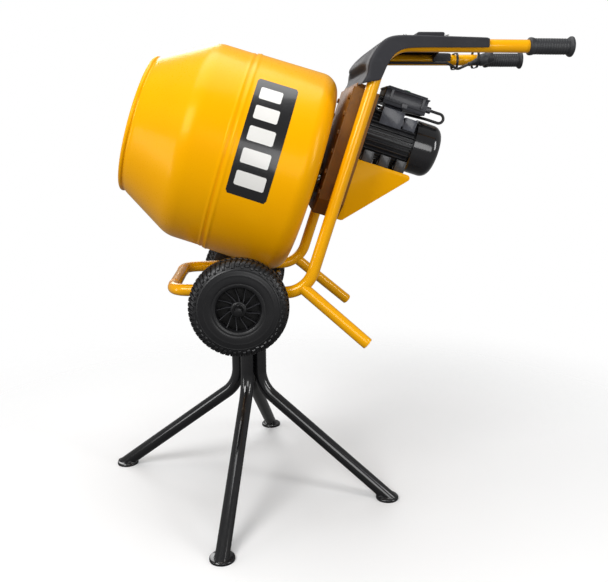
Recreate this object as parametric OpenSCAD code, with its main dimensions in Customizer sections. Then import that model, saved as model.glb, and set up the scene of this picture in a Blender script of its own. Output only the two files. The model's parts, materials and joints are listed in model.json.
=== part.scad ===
// Tip-up concrete mixer: a tilted drum on a wheeled barrow frame, standing on a four-leg swivel stand.
// Millimetres. +X runs to the handles, +Z is up. The origin is on the floor at the middle of the machine.

/* [Stand] */
// Distance from the stand's axis to the middle of a foot
foot_reach = 425; // [340:5:520]
// Slope of the straight part of a leg, below level
leg_slope = 38; // [32:1:44]
// Outside diameter of a leg tube
leg_tube_d = 38; // [30:1:46]
// Wall of a leg tube
leg_wall = 2; // [1.5:0.5:4]
// Distance from the stand's axis to a leg where the four stand together
leg_bundle_r = 34; // [32:1:42]
// Bend radius of a leg
leg_bend_r = 100; // [80:5:130]
// Direction of the leg nearest to the handles, seen from above
leg_turn = -18.4; // [-30:0.1:0]
// Angle between that leg and the next one round
leg_spread = 99.7; // [80:0.1:100]
// Height of the top of the leg bundle
stand_top_z = 470; // [440:5:480]
// Diameter of a foot plate
foot_d = 66; // [50:1:90]
// Thickness of a foot plate
foot_t = 8; // [5:1:12]

/* [Swivel head] */
// Diameter of the swivel spindle
spindle_d = 24; // [18:1:25]
// Length of the spindle inside the stand
spindle_l = 150; // [100:5:180]
// Half of the distance between the two hook plates
hook_y = 140; // [110:1:145]
// Thickness of a hook plate
hook_t = 6; // [4:1:10]

/* [Wheels] */
// Height of the axle above the floor
axle_z = 617; // [590:1:650]
// Axle position along the machine, from the stand's axis
axle_x = -16; // [-30:1:10]
// Diameter of the axle
axle_d = 20; // [16:1:25]
// Outside diameter of a tyre
tyre_d = 260; // [216:1:270]
// Width of a tyre
tyre_w = 74; // [62:1:78]
// Outside diameter of a wheel rim
rim_d = 136; // [110:1:150]
// Distance between the middle planes of the two wheels
track = 521; // [515:1:640]
// Number of spokes in a wheel
spoke_count = 13; // [8:1:16]

/* [Frame] */
// Outside diameter of a frame tube
tube_d = 32; // [25:1:38]
// Wall of a frame tube
tube_wall = 2; // [1.5:0.5:4]
// Lean of the side tubes away from upright, which is also the tilt of the drum
frame_tilt = 17.5; // [12:0.5:22]
// Position of the lower bends, from the stand's axis
heel_x = 160; // [150:1:200]
// Half width of the frame at the lower bends
heel_y = 219; // [215:1:260]
// Half width of the frame at the upper bends
bend_y = 200; // [195:1:240]
// Half width of the frame at the grips
grip_y = 186; // [170:1:230]
// Position of the front loop, from the stand's axis
nose_x = -198; // [-230:1:-185]
// Half width of the front loop
nose_y = 162; // [150:1:200]
// Height of the handles
handle_z = 1265; // [1235:1:1300]
// Length from the upper bend to the end of a grip
handle_l = 476; // [440:1:600]
// Length of a grip
grip_l = 114; // [90:1:140]
// Outside diameter of a grip
grip_d = 40; // [38:1:46]
// Bend radius of the frame tube
tube_bend_r = 80; // [60:5:100]
// Reach of a rear prop behind the lower bend
prop_reach = 160; // [130:5:200]
// Drop of a rear prop below the lower bend
prop_drop = 132; // [100:2:160]

/* [Drum] */
// Greatest radius of the drum
drum_r = 281; // [234:1:284]
// Length of the drum from its back to its mouth
drum_l = 520; // [430:5:580]
// Radius of the mouth
mouth_r = 181; // [150:1:200]
// Length of the tapering front part
cone_l = 156; // [120:1:200]
// Thickness of the drum sheet
drum_wall = 2.2; // [1.5:0.1:4]
// Radius of the rounded back corner
drum_corner_r = 48; // [35:1:60]
// Distance from the lower bend to the drum axis, along the side tubes
drum_up = 278; // [270:1:300]
// Radius of the rolled bead round the mouth
bead_r = 6.5; // [4:0.5:9]

/* [Drive] */
// Half width of the gear case
case_half_w = 160; // [120:1:166]
// Depth of the gear case
case_depth = 66; // [66:1:70]
// Wall of the gear case
case_wall = 3; // [2:0.5:4]
// Distance from the drum axis to the top of the case
case_top = 262; // [250:1:270]
// Distance from the drum axis to the bottom of the case
case_bottom = 80; // [76:1:90]
// Distance from the drum axis to the motor axis
motor_up = 169; // [166:0.5:172]
// Radius of the motor over its fins
motor_r = 68; // [62:1:74]
// Length of the motor's finned body
motor_body_l = 142; // [136:1:170]
// Radius of the fan cowl
cowl_r = 73; // [70:1:82]
// Length of the fan cowl
cowl_l = 77; // [70:1:100]
// Diameter of the drum shaft
shaft_d = 35; // [30:1:40]

/* [Switch box and hood] */
// Length of the switch box
box_l = 122; // [100:1:150]
// Width of the switch box
box_w = 108; // [90:1:140]
// Height of the switch box without its lid
box_h = 40; // [32:1:50]
// Thickness of the moulded hood
hood_wall = 3; // [2:0.5:4]
// Length of bare tube between the hood and a grip
bare_tube_l = 103; // [60:1:150]
// Diameter of the mains lead
lead_d = 8; // [6:0.5:10]

/* [Hidden] */
$fn = 64;

yellow = "#f5b400";
dark_yellow = "#d99a00";
black = "#1b1b1d";
rubber = "#232326";
steel = "#a8abb0";
nylon = "#d8d6cc";

// clearances
turn_gap = 0.06;      // radial, round anything that turns
slide_gap = 0.4;      // round a sliding button
over = 1;             // how far a cutter passes a face

// where the stand's axis lies, so that the machine's middle is at the origin
leg_angles = [leg_turn, leg_turn + leg_spread, leg_turn + 180, leg_turn + leg_spread + 180];
foot_side = foot_reach * cos(leg_turn) + foot_d / 2;
bend_x = heel_x + (handle_z - axle_z - axle_d / 2 - tube_d / 2) * tan(frame_tilt);
handle_end = bend_x + handle_l;
stand_x = (foot_side - handle_end) / 2;
heel_z = axle_z + axle_d / 2 + tube_d / 2;

// stand: the legs keep clear of one another and of the spindle
leg_gap_angle = min(leg_spread, 180 - leg_spread);
leg_stand_r = max(
    leg_bundle_r,
    (leg_tube_d + 1) / 2 / sin(leg_gap_angle / 2),
    (leg_tube_d + spindle_d) / 2 + 3
);
leg_vertex_z = foot_t + (foot_reach - leg_stand_r) * tan(leg_slope);
plate_t = 6;
socket_od = 2 * leg_stand_r - leg_tube_d - 1;
bundle_r = leg_stand_r + leg_tube_d / 2;
washer_t = 4;
yoke_z = stand_top_z + plate_t + washer_t;

// drive: distances run from the back of the drum, and are negative towards the handles
drive_back = 40;
front_face = 0;
case_inner = front_face - case_wall;
case_back = front_face - case_depth;
case_outer = case_back - case_wall;
motor_face = case_outer - 10;
motor_end = motor_face - motor_body_l;
cowl_end = motor_end + 8 - cowl_l;

// gear train: teeth, modules and centre distances
drum_teeth = 50;
lay_b_pinion_teeth = 12;
lay_b_gear_teeth = 54;
lay_a_pinion_teeth = 12;
lay_a_gear_teeth = 46;
motor_teeth = 16;
coarse_module = 2.5;
fine_module = 1.5;
lash = 0.12;
far_apart = (drum_teeth + lay_b_pinion_teeth) / 2 * coarse_module;
mid_apart = (lay_b_gear_teeth + lay_a_pinion_teeth) / 2 * fine_module;
near_apart = (lay_a_gear_teeth + motor_teeth) / 2 * fine_module;
lay_b_angle = 10;
lay_b_at = far_apart * [cos(lay_b_angle), sin(lay_b_angle)];
motor_at = [motor_up, 0];
lay_a_at = meeting_point(lay_b_at, motor_at, mid_apart, near_apart);
lay_shaft_d = 12;
stub_d = 25;
motor_shaft_d = 16;
bearing_w = 9;
plane_c = -34;        // lowest edge of the drum gear
gear_c_w = 18;
plane_b = -46;
gear_b_w = 9;
plane_a = -55.5;
gear_a_w = 7;

// switch box, in the drive's directions
box_up = 254;
box_start = -97;
box_end = box_start - box_l;
box_top = box_up + box_h;
lid_h = 9;
button_r = 9;
button_h = 6;
button_travel = 3;

// ---------------------------------------------------------------------------------- helpers

function unit(v) = v / norm(v);
function turn(a, b, c) = acos(unit(b - a) * unit(c - b));
function setback(a, b, c, r) = r * tan(turn(a, b, c) / 2);
function arc(centre, r, from, to, steps) =
    [for (i = [0 : steps]) let (a = from + (to - from) * i / steps) centre + r * [cos(a), sin(a)]];

// The point that lies d1 from p1 and d2 from p2, on the left of the way from p1 to p2
function meeting_point(p1, p2, d1, d2) =
    let (gap = norm(p2 - p1), along = (d1 * d1 - d2 * d2 + gap * gap) / (2 * gap))
    let (side = sqrt(d1 * d1 - along * along), ahead = (p2 - p1) / gap)
    p1 + along * ahead + side * [-ahead.y, ahead.x];

// Turns the Z axis to point along a direction
module aim(v) {
    rotate([0, acos(v.z / norm(v)), atan2(v.y, v.x)])
        children();
}

// A round bar between two points
module bar(a, b, r) {
    translate(a)
        aim(b - a)
            cylinder(r = r, h = norm(b - a));
}

// The way to the inside of a bend, square to the run that enters it
function inward(a, b, c) = unit(unit(c - b) - (unit(c - b) * unit(b - a)) * unit(b - a));

// Stations along a path whose corners are bent to the listed radii: each is a point and a direction
bend_steps = 8;
function stations(path, radii) =
    let (last = len(path) - 1)
    concat(
        [[path[0], unit(path[1] - path[0])]],
        [for (i = [1 : last - 1])
            let (ahead = unit(path[i] - path[i - 1]), side = inward(path[i - 1], path[i], path[i + 1]))
            let (r = radii[i - 1], angle = turn(path[i - 1], path[i], path[i + 1]))
            let (centre = path[i] - ahead * r * tan(angle / 2) + side * r)
            for (k = [0 : bend_steps])
                let (a = angle * k / bend_steps)
                [centre + r * (ahead * sin(a) - side * cos(a)), ahead * cos(a) + side * sin(a)]],
        [[path[last], unit(path[last] - path[last - 1])]]
    );

function across(x, ahead) = unit(x - (x * ahead) * ahead);

// Rings of points round the stations, with no twist from one to the next
function rings(line, r, sides) = [
    for (i = 0, x = across([0.31, 0.22, 0.93], line[0][1]);
         i < len(line);
         i = i + 1, x = i < len(line) ? across(x, line[i][1]) : x)
        let (y = cross(line[i][1], x))
        [for (k = [0 : sides - 1])
            let (a = 360 * k / sides)
            line[i][0] + r * (x * cos(a) + y * sin(a))]
];

// The last ring moved along its tube on to a level plane
function cut_level(loops, ahead, level) = [
    for (i = [0 : len(loops) - 1])
        i < len(loops) - 1 ? loops[i] : [for (p = loops[i]) p + ahead * (level - p.z) / ahead.z]
];

function skin(count, sides, first, flip) = [
    for (i = [0 : count - 2], k = [0 : sides - 1])
        let (n = (k + 1) % sides, a = first + i * sides)
        let (quad = [a + k, a + n, a + sides + n, a + sides + k])
        flip ? quad : [quad[3], quad[2], quad[1], quad[0]]
];

// A bent tube of one piece; a level cuts its far end flat on to that height
module tube(path, radii, r, wall = 0, sides = 24, level = undef) {
    line = stations(path, radii);
    count = len(line);
    ahead = line[count - 1][1];
    whole = rings(line, r, sides);
    outer = level == undef ? whole : cut_level(whole, ahead, level);
    far = (count - 1) * sides;
    if (wall == 0) {
        near_end = [for (k = [0 : sides - 1]) k];
        far_end = [for (k = [sides - 1 : -1 : 0]) far + k];
        polyhedron([for (loop = outer) each loop], concat(skin(count, sides, 0, false), [near_end, far_end]));
    } else {
        hollow = rings(line, r - wall, sides);
        inner = level == undef ? hollow : cut_level(hollow, ahead, level);
        first = count * sides;
        near_end = [for (k = [0 : sides - 1]) let (n = (k + 1) % sides) [k, n, first + n, first + k]];
        far_end = [for (k = [0 : sides - 1])
            let (n = (k + 1) % sides)
            [first + far + k, first + far + n, far + n, far + k]];
        polyhedron(
            [for (loop = concat(outer, inner)) each loop],
            concat(skin(count, sides, 0, false), skin(count, sides, first, true), near_end, far_end)
        );
    }
}

// A true round bend, for cutting what fits against a bent tube
module bend(a, b, c, bend_r, r) {
    ahead = unit(b - a);
    side = inward(a, b, c);
    centre = b - ahead * setback(a, b, c, bend_r) + side * bend_r;
    up = cross(-side, ahead);
    multmatrix([
        [-side.x, ahead.x, up.x, centre.x],
        [-side.y, ahead.y, up.y, centre.y],
        [-side.z, ahead.z, up.z, centre.z],
        [0, 0, 0, 1]
    ])
        rotate_extrude(angle = turn(a, b, c))
            translate([bend_r, 0])
                circle(r = r);
}

// A ring about the Z axis
module ring(outer, inner, h) {
    difference() {
        cylinder(r = outer, h = h);
        translate([0, 0, -over])
            cylinder(r = inner, h = h + 2 * over);
    }
}

// Places children in the drive's directions: X along the side tubes, Z along the drum axis to its mouth
module drive() {
    translate([stand_x + heel_x, 0, heel_z])
        rotate([0, frame_tilt - 90, 0])
            translate([drum_up, 0, drive_back])
                children();
}

module on_stand() {
    translate([stand_x, 0, 0])
        children();
}

// Places children on the wheel axle, with Z along the axle to the near side
module on_axle() {
    translate([stand_x + axle_x, 0, axle_z])
        rotate([90, 0, 0])
            children();
}

// ---------------------------------------------------------------------------------- gears

// Involute gear flank, as polar points from the root to the tip
function inv(a) = tan(a) - a * PI / 180;
pressure = 20;
function flank(teeth, m, steps) =
    let (pitch = teeth * m / 2, base = pitch * cos(pressure), tip = pitch + m)
    let (low = max(base, pitch - 1.1 * m))
    let (half = 90 / teeth - lash / pitch * 90 / PI)
    [for (i = [0 : steps])
        let (r = low + (tip - low) * i / steps)
        let (off = half + (inv(pressure) - inv(acos(min(1, base / r)))) * 180 / PI)
        [r, off]];

function gear_points(teeth, m) =
    let (side = flank(teeth, m, 4), root = teeth * m / 2 - 1.25 * m)
    [for (t = [0 : teeth - 1])
        let (mid = t * 360 / teeth)
        each concat(
            [polar(root, mid - side[0][1] * 1.02)],
            [for (p = side) polar(p[0], mid - p[1])],
            [for (i = [len(side) - 1 : -1 : 0]) polar(side[i][0], mid + side[i][1])],
            [polar(root, mid + side[0][1] * 1.02)]
        )];
function polar(r, a) = r * [cos(a), sin(a)];

// A spur gear standing on z = 0, with one tooth pointing along the angle it is turned to
module spur(teeth, m, w) {
    linear_extrude(w)
        polygon(gear_points(teeth, m));
}

// How far a gear is turned so that it meshes with the one it follows
function way(a, b) = atan2((b - a).y, (b - a).x);
drum_turn = 0;
lay_b_turn = way(lay_b_at, [0, 0]) + 180 / lay_b_pinion_teeth
    + (way([0, 0], lay_b_at) - drum_turn) * drum_teeth / lay_b_pinion_teeth;
lay_a_turn = way(lay_a_at, lay_b_at) + 180 / lay_a_pinion_teeth
    + (way(lay_b_at, lay_a_at) - lay_b_turn) * lay_b_gear_teeth / lay_a_pinion_teeth;
motor_turn = way(motor_at, lay_a_at) + 180 / motor_teeth
    + (way(lay_a_at, motor_at) - lay_a_turn) * lay_a_gear_teeth / motor_teeth;

// ---------------------------------------------------------------------------------- stand

module leg(angle) {
    high = [leg_stand_r, 0, stand_top_z];
    knee = [leg_stand_r, 0, leg_vertex_z];
    foot = [foot_reach, 0, foot_t];
    color(black)
        on_stand()
            rotate([0, 0, angle])
                tube([high, knee, foot], [leg_bend_r], leg_tube_d / 2, leg_wall, level = foot_t);
}

module leg_right() leg(leg_angles[0]);
module leg_far() leg(leg_angles[1]);
module leg_left() leg(leg_angles[2]);
module leg_near() leg(leg_angles[3]);

module feet() {
    edge = foot_t / 4;
    color(black)
        on_stand()
            for (angle = leg_angles)
                rotate([0, 0, angle])
                    translate([foot_reach, 0, 0])
                        rotate_extrude()
                            polygon([[0, 0], [foot_d / 2, 0], [foot_d / 2, foot_t - edge],
                                     [foot_d / 2 - edge, foot_t], [0, foot_t]]);
}

module stand_socket() {
    color(black)
        on_stand()
            difference() {
                union() {
                    translate([0, 0, stand_top_z - spindle_l])
                        cylinder(d = socket_od, h = spindle_l);
                    translate([0, 0, stand_top_z])
                        cylinder(r = bundle_r + 1, h = plate_t);
                }
                translate([0, 0, stand_top_z - spindle_l - over])
                    cylinder(r = spindle_d / 2 + turn_gap, h = spindle_l + plate_t + 2 * over);
            }
}

// ---------------------------------------------------------------------------------- swivel head

stop_x = 92;
stop_r = 9;
stop_z = heel_z - tube_d / 2 - stop_r - 0.3;
hook_top = axle_z + axle_d / 2 + 20;
hook_lip = 12;
beam_h = 34;
beam_w = 60;
base_r = 48;
keeper_z = axle_z + axle_d / 2 + 10;
keeper_bolt_d = 5;

module hook_outline() {
    difference() {
        polygon([
            [-beam_w / 2, yoke_z + plate_t],
            [beam_w / 2, yoke_z + plate_t],
            [stop_x + stop_r + 2, stop_z - 2 * stop_r],
            [stop_x + stop_r + 2, stop_z],
            [axle_x + axle_d / 2 + 2 * hook_lip, stop_z],
            [axle_x + axle_d / 2 + hook_lip, hook_top],
            [axle_x - axle_d / 2 - hook_lip, hook_top],
            [axle_x - axle_d / 2 - 18, axle_z - 20]
        ]);
        translate([axle_x, axle_z])
            circle(r = axle_d / 2 + turn_gap);
        translate([axle_x - axle_d / 2 - turn_gap, axle_z])
            square([axle_d + 2 * turn_gap, axle_d * 3]);
    }
}

module swivel_yoke() {
    color(black)
        on_stand()
            difference() {
                union() {
                    translate([0, 0, yoke_z])
                        cylinder(r = base_r, h = plate_t);
                    translate([-beam_w / 2, -hook_y, yoke_z + plate_t])
                        cube([beam_w, 2 * hook_y, beam_h]);
                    for (side = [-1, 1]) {
                        translate([0, side * hook_y + hook_t / 2, 0])
                            rotate([90, 0, 0])
                                linear_extrude(hook_t)
                                    hook_outline();
                        translate([stop_x, side * hook_y, stop_z])
                            rotate([-90 * side, 0, 0])
                                cylinder(r = stop_r, h = heel_y - hook_y - 12);
                    }
                }
                translate([-beam_w / 2 + 3, -hook_y + 3, yoke_z + plate_t + 3])
                    cube([beam_w - 6, 2 * hook_y - 6, beam_h - 6]);
                translate([0, 0, yoke_z - over])
                    cylinder(d = spindle_d, h = plate_t + beam_h + 2 * over);
                keeper_bolts(keeper_bolt_d, 2 * (hook_y + hook_t));
            }
}

module swivel_spindle() {
    color(steel)
        on_stand()
            translate([0, 0, stand_top_z - spindle_l + 4])
                cylinder(d = spindle_d, h = spindle_l + plate_t + washer_t + plate_t + beam_h - 4);
}

module thrust_washer() {
    color(nylon)
        on_stand()
            translate([0, 0, stand_top_z + plate_t])
                ring(base_r - 2, spindle_d / 2 + turn_gap, washer_t - 0.3);
}

// Bars along Y through both prongs of both hooks
module keeper_bolts(d, l) {
    for (side = [-1, 1])
        translate([axle_x + side * (axle_d + hook_lip) / 2, l / 2, keeper_z])
            rotate([90, 0, 0])
                cylinder(d = d, h = l);
}

// A strap across the mouth of each hook keeps the axle in it
module axle_keepers() {
    strap_t = 3;
    strap_l = axle_d + 2 * hook_lip;
    face = hook_y + hook_t / 2;
    color(steel)
        on_stand()
            for (side = [-1, 1]) {
                translate([axle_x - strap_l / 2, side > 0 ? face : -face - strap_t, keeper_z - 6])
                    cube([strap_l, strap_t, 12]);
                for (end = [-1, 1])
                    translate([axle_x + end * (axle_d + hook_lip) / 2, side * (face + strap_t), keeper_z])
                        rotate([-90 * side, 0, 0])
                            cylinder(d = 2 * keeper_bolt_d, h = 4, $fn = 6);
            }
    color(steel)
        on_stand()
            intersection() {
                keeper_bolts(keeper_bolt_d, 2 * (hook_y + hook_t / 2));
                for (side = [-1, 1])
                    translate([axle_x - 2 * axle_d, side * hook_y - hook_t / 2, keeper_z - 6])
                        cube([4 * axle_d, hook_t, 12]);
            }
}

// ---------------------------------------------------------------------------------- frame

nose_run = 60;
nose_bend_r = 46;

function side_path(side) = [
    [handle_end - 3, side * grip_y, handle_z],
    [bend_x, side * bend_y, handle_z],
    [heel_x, side * heel_y, heel_z],
    [nose_x, side * nose_y, heel_z]
];

// Where the corner of the front loop ends
function nose_end(side) = [nose_x, side * (nose_y - nose_run), heel_z];

module side_tube(side) {
    color(yellow)
        on_stand()
            tube(
                concat(side_path(side), [nose_end(side)]),
                [tube_bend_r, tube_bend_r, nose_bend_r],
                tube_d / 2,
                tube_wall
            );
}

// Room for one straight run of a side tube, in pieces that lie against it
module tube_room(side, run) {
    path = side_path(side);
    bar(path[run], path[run + 1], tube_d / 2);
}

// Room for the lower bend
module heel_room(side) {
    path = side_path(side);
    bend(path[1], path[2], path[3], tube_bend_r, tube_d / 2);
}

module side_tube_near() side_tube(-1);
module side_tube_far() side_tube(1);

module front_bar() {
    reach = nose_y - nose_run;
    color(yellow)
        on_stand()
            translate([nose_x, reach, heel_z])
                rotate([90, 0, 0])
                    ring(tube_d / 2, tube_d / 2 - tube_wall, 2 * reach);
}

module rear_props() {
    cap = 3;
    into = tube_bend_r * (1 / cos((90 - frame_tilt) / 2) - 1);
    lean = (90 + frame_tilt) / 2;
    color(yellow)
        on_stand()
            for (side = [-1, 1]) {
                middle = [heel_x - into * cos(lean), side * heel_y, heel_z + into * sin(lean)];
                tip = [heel_x + prop_reach, side * (heel_y + 34), heel_z - prop_drop];
                ahead = unit(tip - middle);
                difference() {
                    bar(middle + ahead * (tube_d / 2 - 4), tip, tube_d / 2);
                    bar(middle + ahead * (tube_d / 2 + 6), tip - ahead * cap, tube_d / 2 - tube_wall);
                    heel_room(side);
                }
            }
}

axle_half = track / 2 + tyre_w / 2 + 16;

module axle() {
    color(steel)
        on_axle()
            difference() {
                translate([0, 0, -axle_half])
                    cylinder(d = axle_d, h = 2 * axle_half);
                for (side = [-1, 1])
                    translate([0, -axle_d, side * (axle_half - 6)])
                        rotate([-90, 0, 0])
                            cylinder(d = 4, h = 2 * axle_d, $fn = 24);
            }
}

// A cradle under each lower tube holds the axle
module axle_saddles() {
    saddle_w = 24;
    middle = nose_y + (heel_y - nose_y) * (axle_x - nose_x) / (heel_x - nose_x);
    color(yellow)
        on_stand()
            for (side = [-1, 1])
                difference() {
                    translate([axle_x - axle_d, side * middle - saddle_w / 2, axle_z - axle_d / 2 - 4])
                        cube([2 * axle_d, saddle_w, axle_d + 4 + tube_d / 2]);
                    tube_room(side, 2);
                    translate([axle_x, side * middle - saddle_w, axle_z])
                        rotate([-90, 0, 0])
                            cylinder(d = axle_d, h = 2 * saddle_w);
                }
}

washer_w = 3;
wheel_inner = track / 2 - tyre_w / 2 + 6;
wheel_outer = track / 2 + tyre_w / 2 - 6;

module axle_washers() {
    color(steel)
        on_axle()
            for (side = [-1, 1]) {
                translate([0, 0, side * (wheel_outer + 2) - washer_w / 2])
                    ring(17, axle_d / 2, washer_w);
                translate([0, 0, side * (wheel_inner - 2) - washer_w / 2])
                    ring(17, axle_d / 2, washer_w);
            }
}

module split_pins() {
    color(steel)
        on_axle()
            for (side = [-1, 1])
                translate([0, 0, side * (axle_half - 6)]) {
                    rotate([90, 0, 0])
                        translate([0, 0, -15])
                            cylinder(d = 3.6, h = 30, $fn = 24);
                    translate([0, 16, 0])
                        sphere(r = 3.4);
                }
}

// ---------------------------------------------------------------------------------- wheels

// The tyre's section: half of a rounded block, as a formula
function tyre_section(steps) =
    let (inner = rim_d / 2 - 2, depth = tyre_d / 2 - inner)
    [for (i = [0 : steps])
        let (a = -90 + 180 * i / steps)
        let (c = pow(abs(cos(a)), 0.62), s = sign(sin(a)) * pow(abs(sin(a)), 0.72))
        [inner + depth * (0.12 + 0.88 * c), tyre_w / 2 * s]];

module tyre(side) {
    bead = rim_d / 2 - 2;
    well = tyre_w / 2 - 12;
    color(rubber)
        on_axle()
            translate([0, 0, -side * track / 2])
                difference() {
                    rotate_extrude($fn = 96)
                        polygon(concat([[bead, -tyre_w / 2 + 6]], tyre_section(28), [[bead, tyre_w / 2 - 6]]));
                    rotate_extrude($fn = 96)
                        polygon([
                            [bead - 5, -well], [bead + 14, -well], [tyre_d / 2 - 14, -well + 6],
                            [tyre_d / 2 - 14, well - 6], [bead + 14, well], [bead - 5, well]
                        ]);
                }
}

module tyre_near() tyre(-1);
module tyre_far() tyre(1);

module wheel_rim(side) {
    rim_r = rim_d / 2;
    seat = tyre_w / 2 - 6;
    hub_r = 21;
    dish_r = rim_r - 12;
    color(black)
        on_axle()
            translate([0, 0, -side * track / 2])
                difference() {
                    union() {
                        rotate_extrude($fn = 96)
                            polygon([
                                [dish_r, -seat], [rim_r - 2, -seat], [rim_r - 2, seat], [dish_r, seat],
                                [dish_r + 2, seat - 6], [dish_r + 2, -seat + 6]
                            ]);
                        translate([0, 0, -seat])
                            cylinder(r = hub_r, h = 2 * seat);
                        for (i = [0 : spoke_count - 1])
                            rotate([0, 0, i * 360 / spoke_count])
                                translate([hub_r - 3, -2, -seat + 8])
                                    cube([dish_r - hub_r + 8, 4, 2 * seat - 16]);
                        translate([0, 0, -2])
                            cylinder(r = dish_r + 4, h = 4);
                    }
                    translate([0, 0, -seat - over])
                        cylinder(r = axle_d / 2 + turn_gap, h = 2 * seat + 2 * over);
                }
}

module wheel_rim_near() wheel_rim(-1);
module wheel_rim_far() wheel_rim(1);

// ---------------------------------------------------------------------------------- drum

drum_back = 14;                                   // the sheet's middle, behind the mouth of the hub
seam = drum_back + 246;                           // free edge of the bowl
knee = drum_l - cone_l;
taper = 5;                                        // how much narrower the drum is at the seam
seam_r = drum_r - taper;
knee_r = drum_r - taper - 4;
hub_flange_r = 62;
ridge_r = 3.5;

// Outside outline of the bowl, as radius and distance along the axis, moved inwards by a wall
function bowl_outline(wall) =
    let (corner = [drum_r - drum_corner_r, drum_back + 12 + drum_corner_r])
    concat(
        [[0, drum_back + wall]],
        arc(corner, drum_corner_r - wall, -84, 0, 12),
        [[seam_r - wall, seam]]
    );

module drum_bowl() {
    color(yellow)
        drive()
            difference() {
                union() {
                    rotate_extrude($fn = 96)
                        polygon(concat(bowl_outline(0), [[0, seam]]));
                    translate([0, 0, seam - 9])
                        rotate_extrude($fn = 96)
                            translate([seam_r - 0.5, 0])
                                circle(r = ridge_r, $fn = 24);
                }
                rotate_extrude($fn = 96)
                    polygon(concat(bowl_outline(drum_wall), [[seam_r - drum_wall, seam + over], [0, seam + over]]));
                translate([0, 0, -over])
                    cylinder(d = shaft_d, h = drum_back + drum_wall * 3);
            }
}

// Outside outline of the front part, moved inwards by a wall
function cone_outline(wall, past) =
    let (slope = atan2(knee_r - mouth_r, cone_l))
    let (soft = 60)
    let (centre = [knee_r - soft - 0.5, knee - soft * tan(slope / 2)])
    concat(
        [[seam_r - drum_wall - 0.3 - wall, seam - 28 - past]],
        arc(centre, soft - wall, 0, slope, 5),
        [[mouth_r - wall - past * tan(slope), drum_l + past]]
    );

module drum_cone() {
    color(yellow)
        drive()
            difference() {
                union() {
                    rotate_extrude($fn = 96)
                        polygon(concat([[0, seam - 28]], cone_outline(0, 0), [[0, drum_l]]));
                    translate([0, 0, seam + 8])
                        rotate_extrude($fn = 96)
                            translate([seam_r - drum_wall - 1, 0])
                                circle(r = ridge_r, $fn = 24);
                }
                rotate_extrude($fn = 96)
                    polygon(concat([[0, seam - 28 - over]], cone_outline(drum_wall, over), [[0, drum_l + over]]));
            }
}

module mouth_ring() {
    color(yellow)
        drive()
            difference() {
                translate([0, 0, drum_l - bead_r])
                    rotate_extrude($fn = 96)
                        translate([mouth_r + 1, 0])
                            circle(r = bead_r, $fn = 32);
                rotate_extrude($fn = 96)
                    polygon(concat([[0, seam]], cone_outline(-0.01, over), [[0, drum_l + over]]));
            }
}

// Each paddle is a plate that stands on a foot along the inside of the drum
paddle_t = 4;
paddle_count = 2;
paddle_turn = 20;
paddle_from = drum_back + 70;
paddle_to = knee + 40;
paddle_foot = 30;
paddle_depth = 150;

// The space inside the drum, drawn a gap inside its sheet
module drum_inside(gap) {
    wall = drum_wall + gap;
    lap = seam - 28;
    rotate_extrude($fn = 96)
        polygon(concat(bowl_outline(wall), [[seam_r - wall, lap], [0, lap]]));
    rotate_extrude($fn = 96)
        polygon(concat([[0, lap]], cone_outline(wall, 0), [[0, drum_l]]));
}

module each_paddle() {
    for (i = [0 : paddle_count - 1])
        rotate([0, 0, i * 360 / paddle_count + paddle_turn])
            children();
}

module paddles() {
    low = drum_r - paddle_depth;
    color(steel)
        drive()
            each_paddle() {
                intersection() {
                    translate([0, paddle_t, 0])
                        rotate([90, 0, 0])
                            linear_extrude(paddle_t)
                                polygon([
                                    [drum_r, paddle_from], [drum_r, knee - 20], [drum_r - 30, paddle_to],
                                    [low + 50, paddle_to], [low, knee - 60], [low + 30, paddle_from]
                                ]);
                    drum_inside(0);
                }
                difference() {
                    intersection() {
                        translate([drum_r / 2, paddle_t, paddle_from])
                            cube([drum_r / 2, paddle_foot, seam - 28 - paddle_from]);
                        drum_inside(0);
                    }
                    drum_inside(paddle_t);
                }
            }
}

module paddle_bolts() {
    inner = drum_r - drum_wall - paddle_t;
    head = 6;
    color(steel)
        drive()
            intersection() {
                each_paddle()
                    for (place = [paddle_from + 25, seam - 55])
                        translate([inner + 1, paddle_t + paddle_foot / 2, place])
                            rotate([0, -90, 0])
                                cylinder(r = 7, h = head + taper, $fn = 6);
                drum_inside(paddle_t + 0.05);
            }
}

hub_bolts = 6;

module drum_hub() {
    color(dark_yellow)
        drive()
            difference() {
                union() {
                    translate([0, 0, drum_back - 6])
                        cylinder(r = hub_flange_r, h = 6);
                    translate([0, 0, 4])
                        cylinder(r = 25, h = drum_back - 4);
                    for (i = [0 : hub_bolts - 1])
                        rotate([0, 0, i * 360 / hub_bolts])
                            translate([hub_flange_r - 14, 0, drum_back - 11])
                                cylinder(r = 7, h = 6, $fn = 6);
                }
                translate([0, 0, -over])
                    cylinder(d = shaft_d, h = drum_back + 2 * over);
            }
}

module drum_shaft() {
    color(steel)
        drive() {
            translate([0, 0, plane_c - 1])
                cylinder(d = shaft_d, h = drum_back + 2 - plane_c);
            translate([0, 0, case_back + 1])
                cylinder(d = stub_d, h = plane_c - case_back - 1);
        }
}

module output_gear() {
    color(steel)
        drive()
            translate([0, 0, plane_c])
                difference() {
                    rotate([0, 0, drum_turn])
                        spur(drum_teeth, coarse_module, gear_c_w);
                    translate([0, 0, -over])
                        cylinder(d = shaft_d, h = gear_c_w + 2 * over);
                }
}

// ---------------------------------------------------------------------------------- gear case

chamfer = 44;
boss_h = 11;
back_boss_h = 9;

// Outline of the case from the front, drawn a distance outside its walls
module case_outline(grow) {
    half = case_half_w + grow;
    low = -case_bottom - grow;
    polygon([
        [low, -half + chamfer], [low, half - chamfer], [low + chamfer, half],
        [case_top + grow, half], [case_top + grow, -half], [low + chamfer, -half]
    ]);
}

module lay_places() {
    for (place = [lay_a_at, lay_b_at])
        translate([place.x, place.y, 0])
            children();
}

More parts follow.
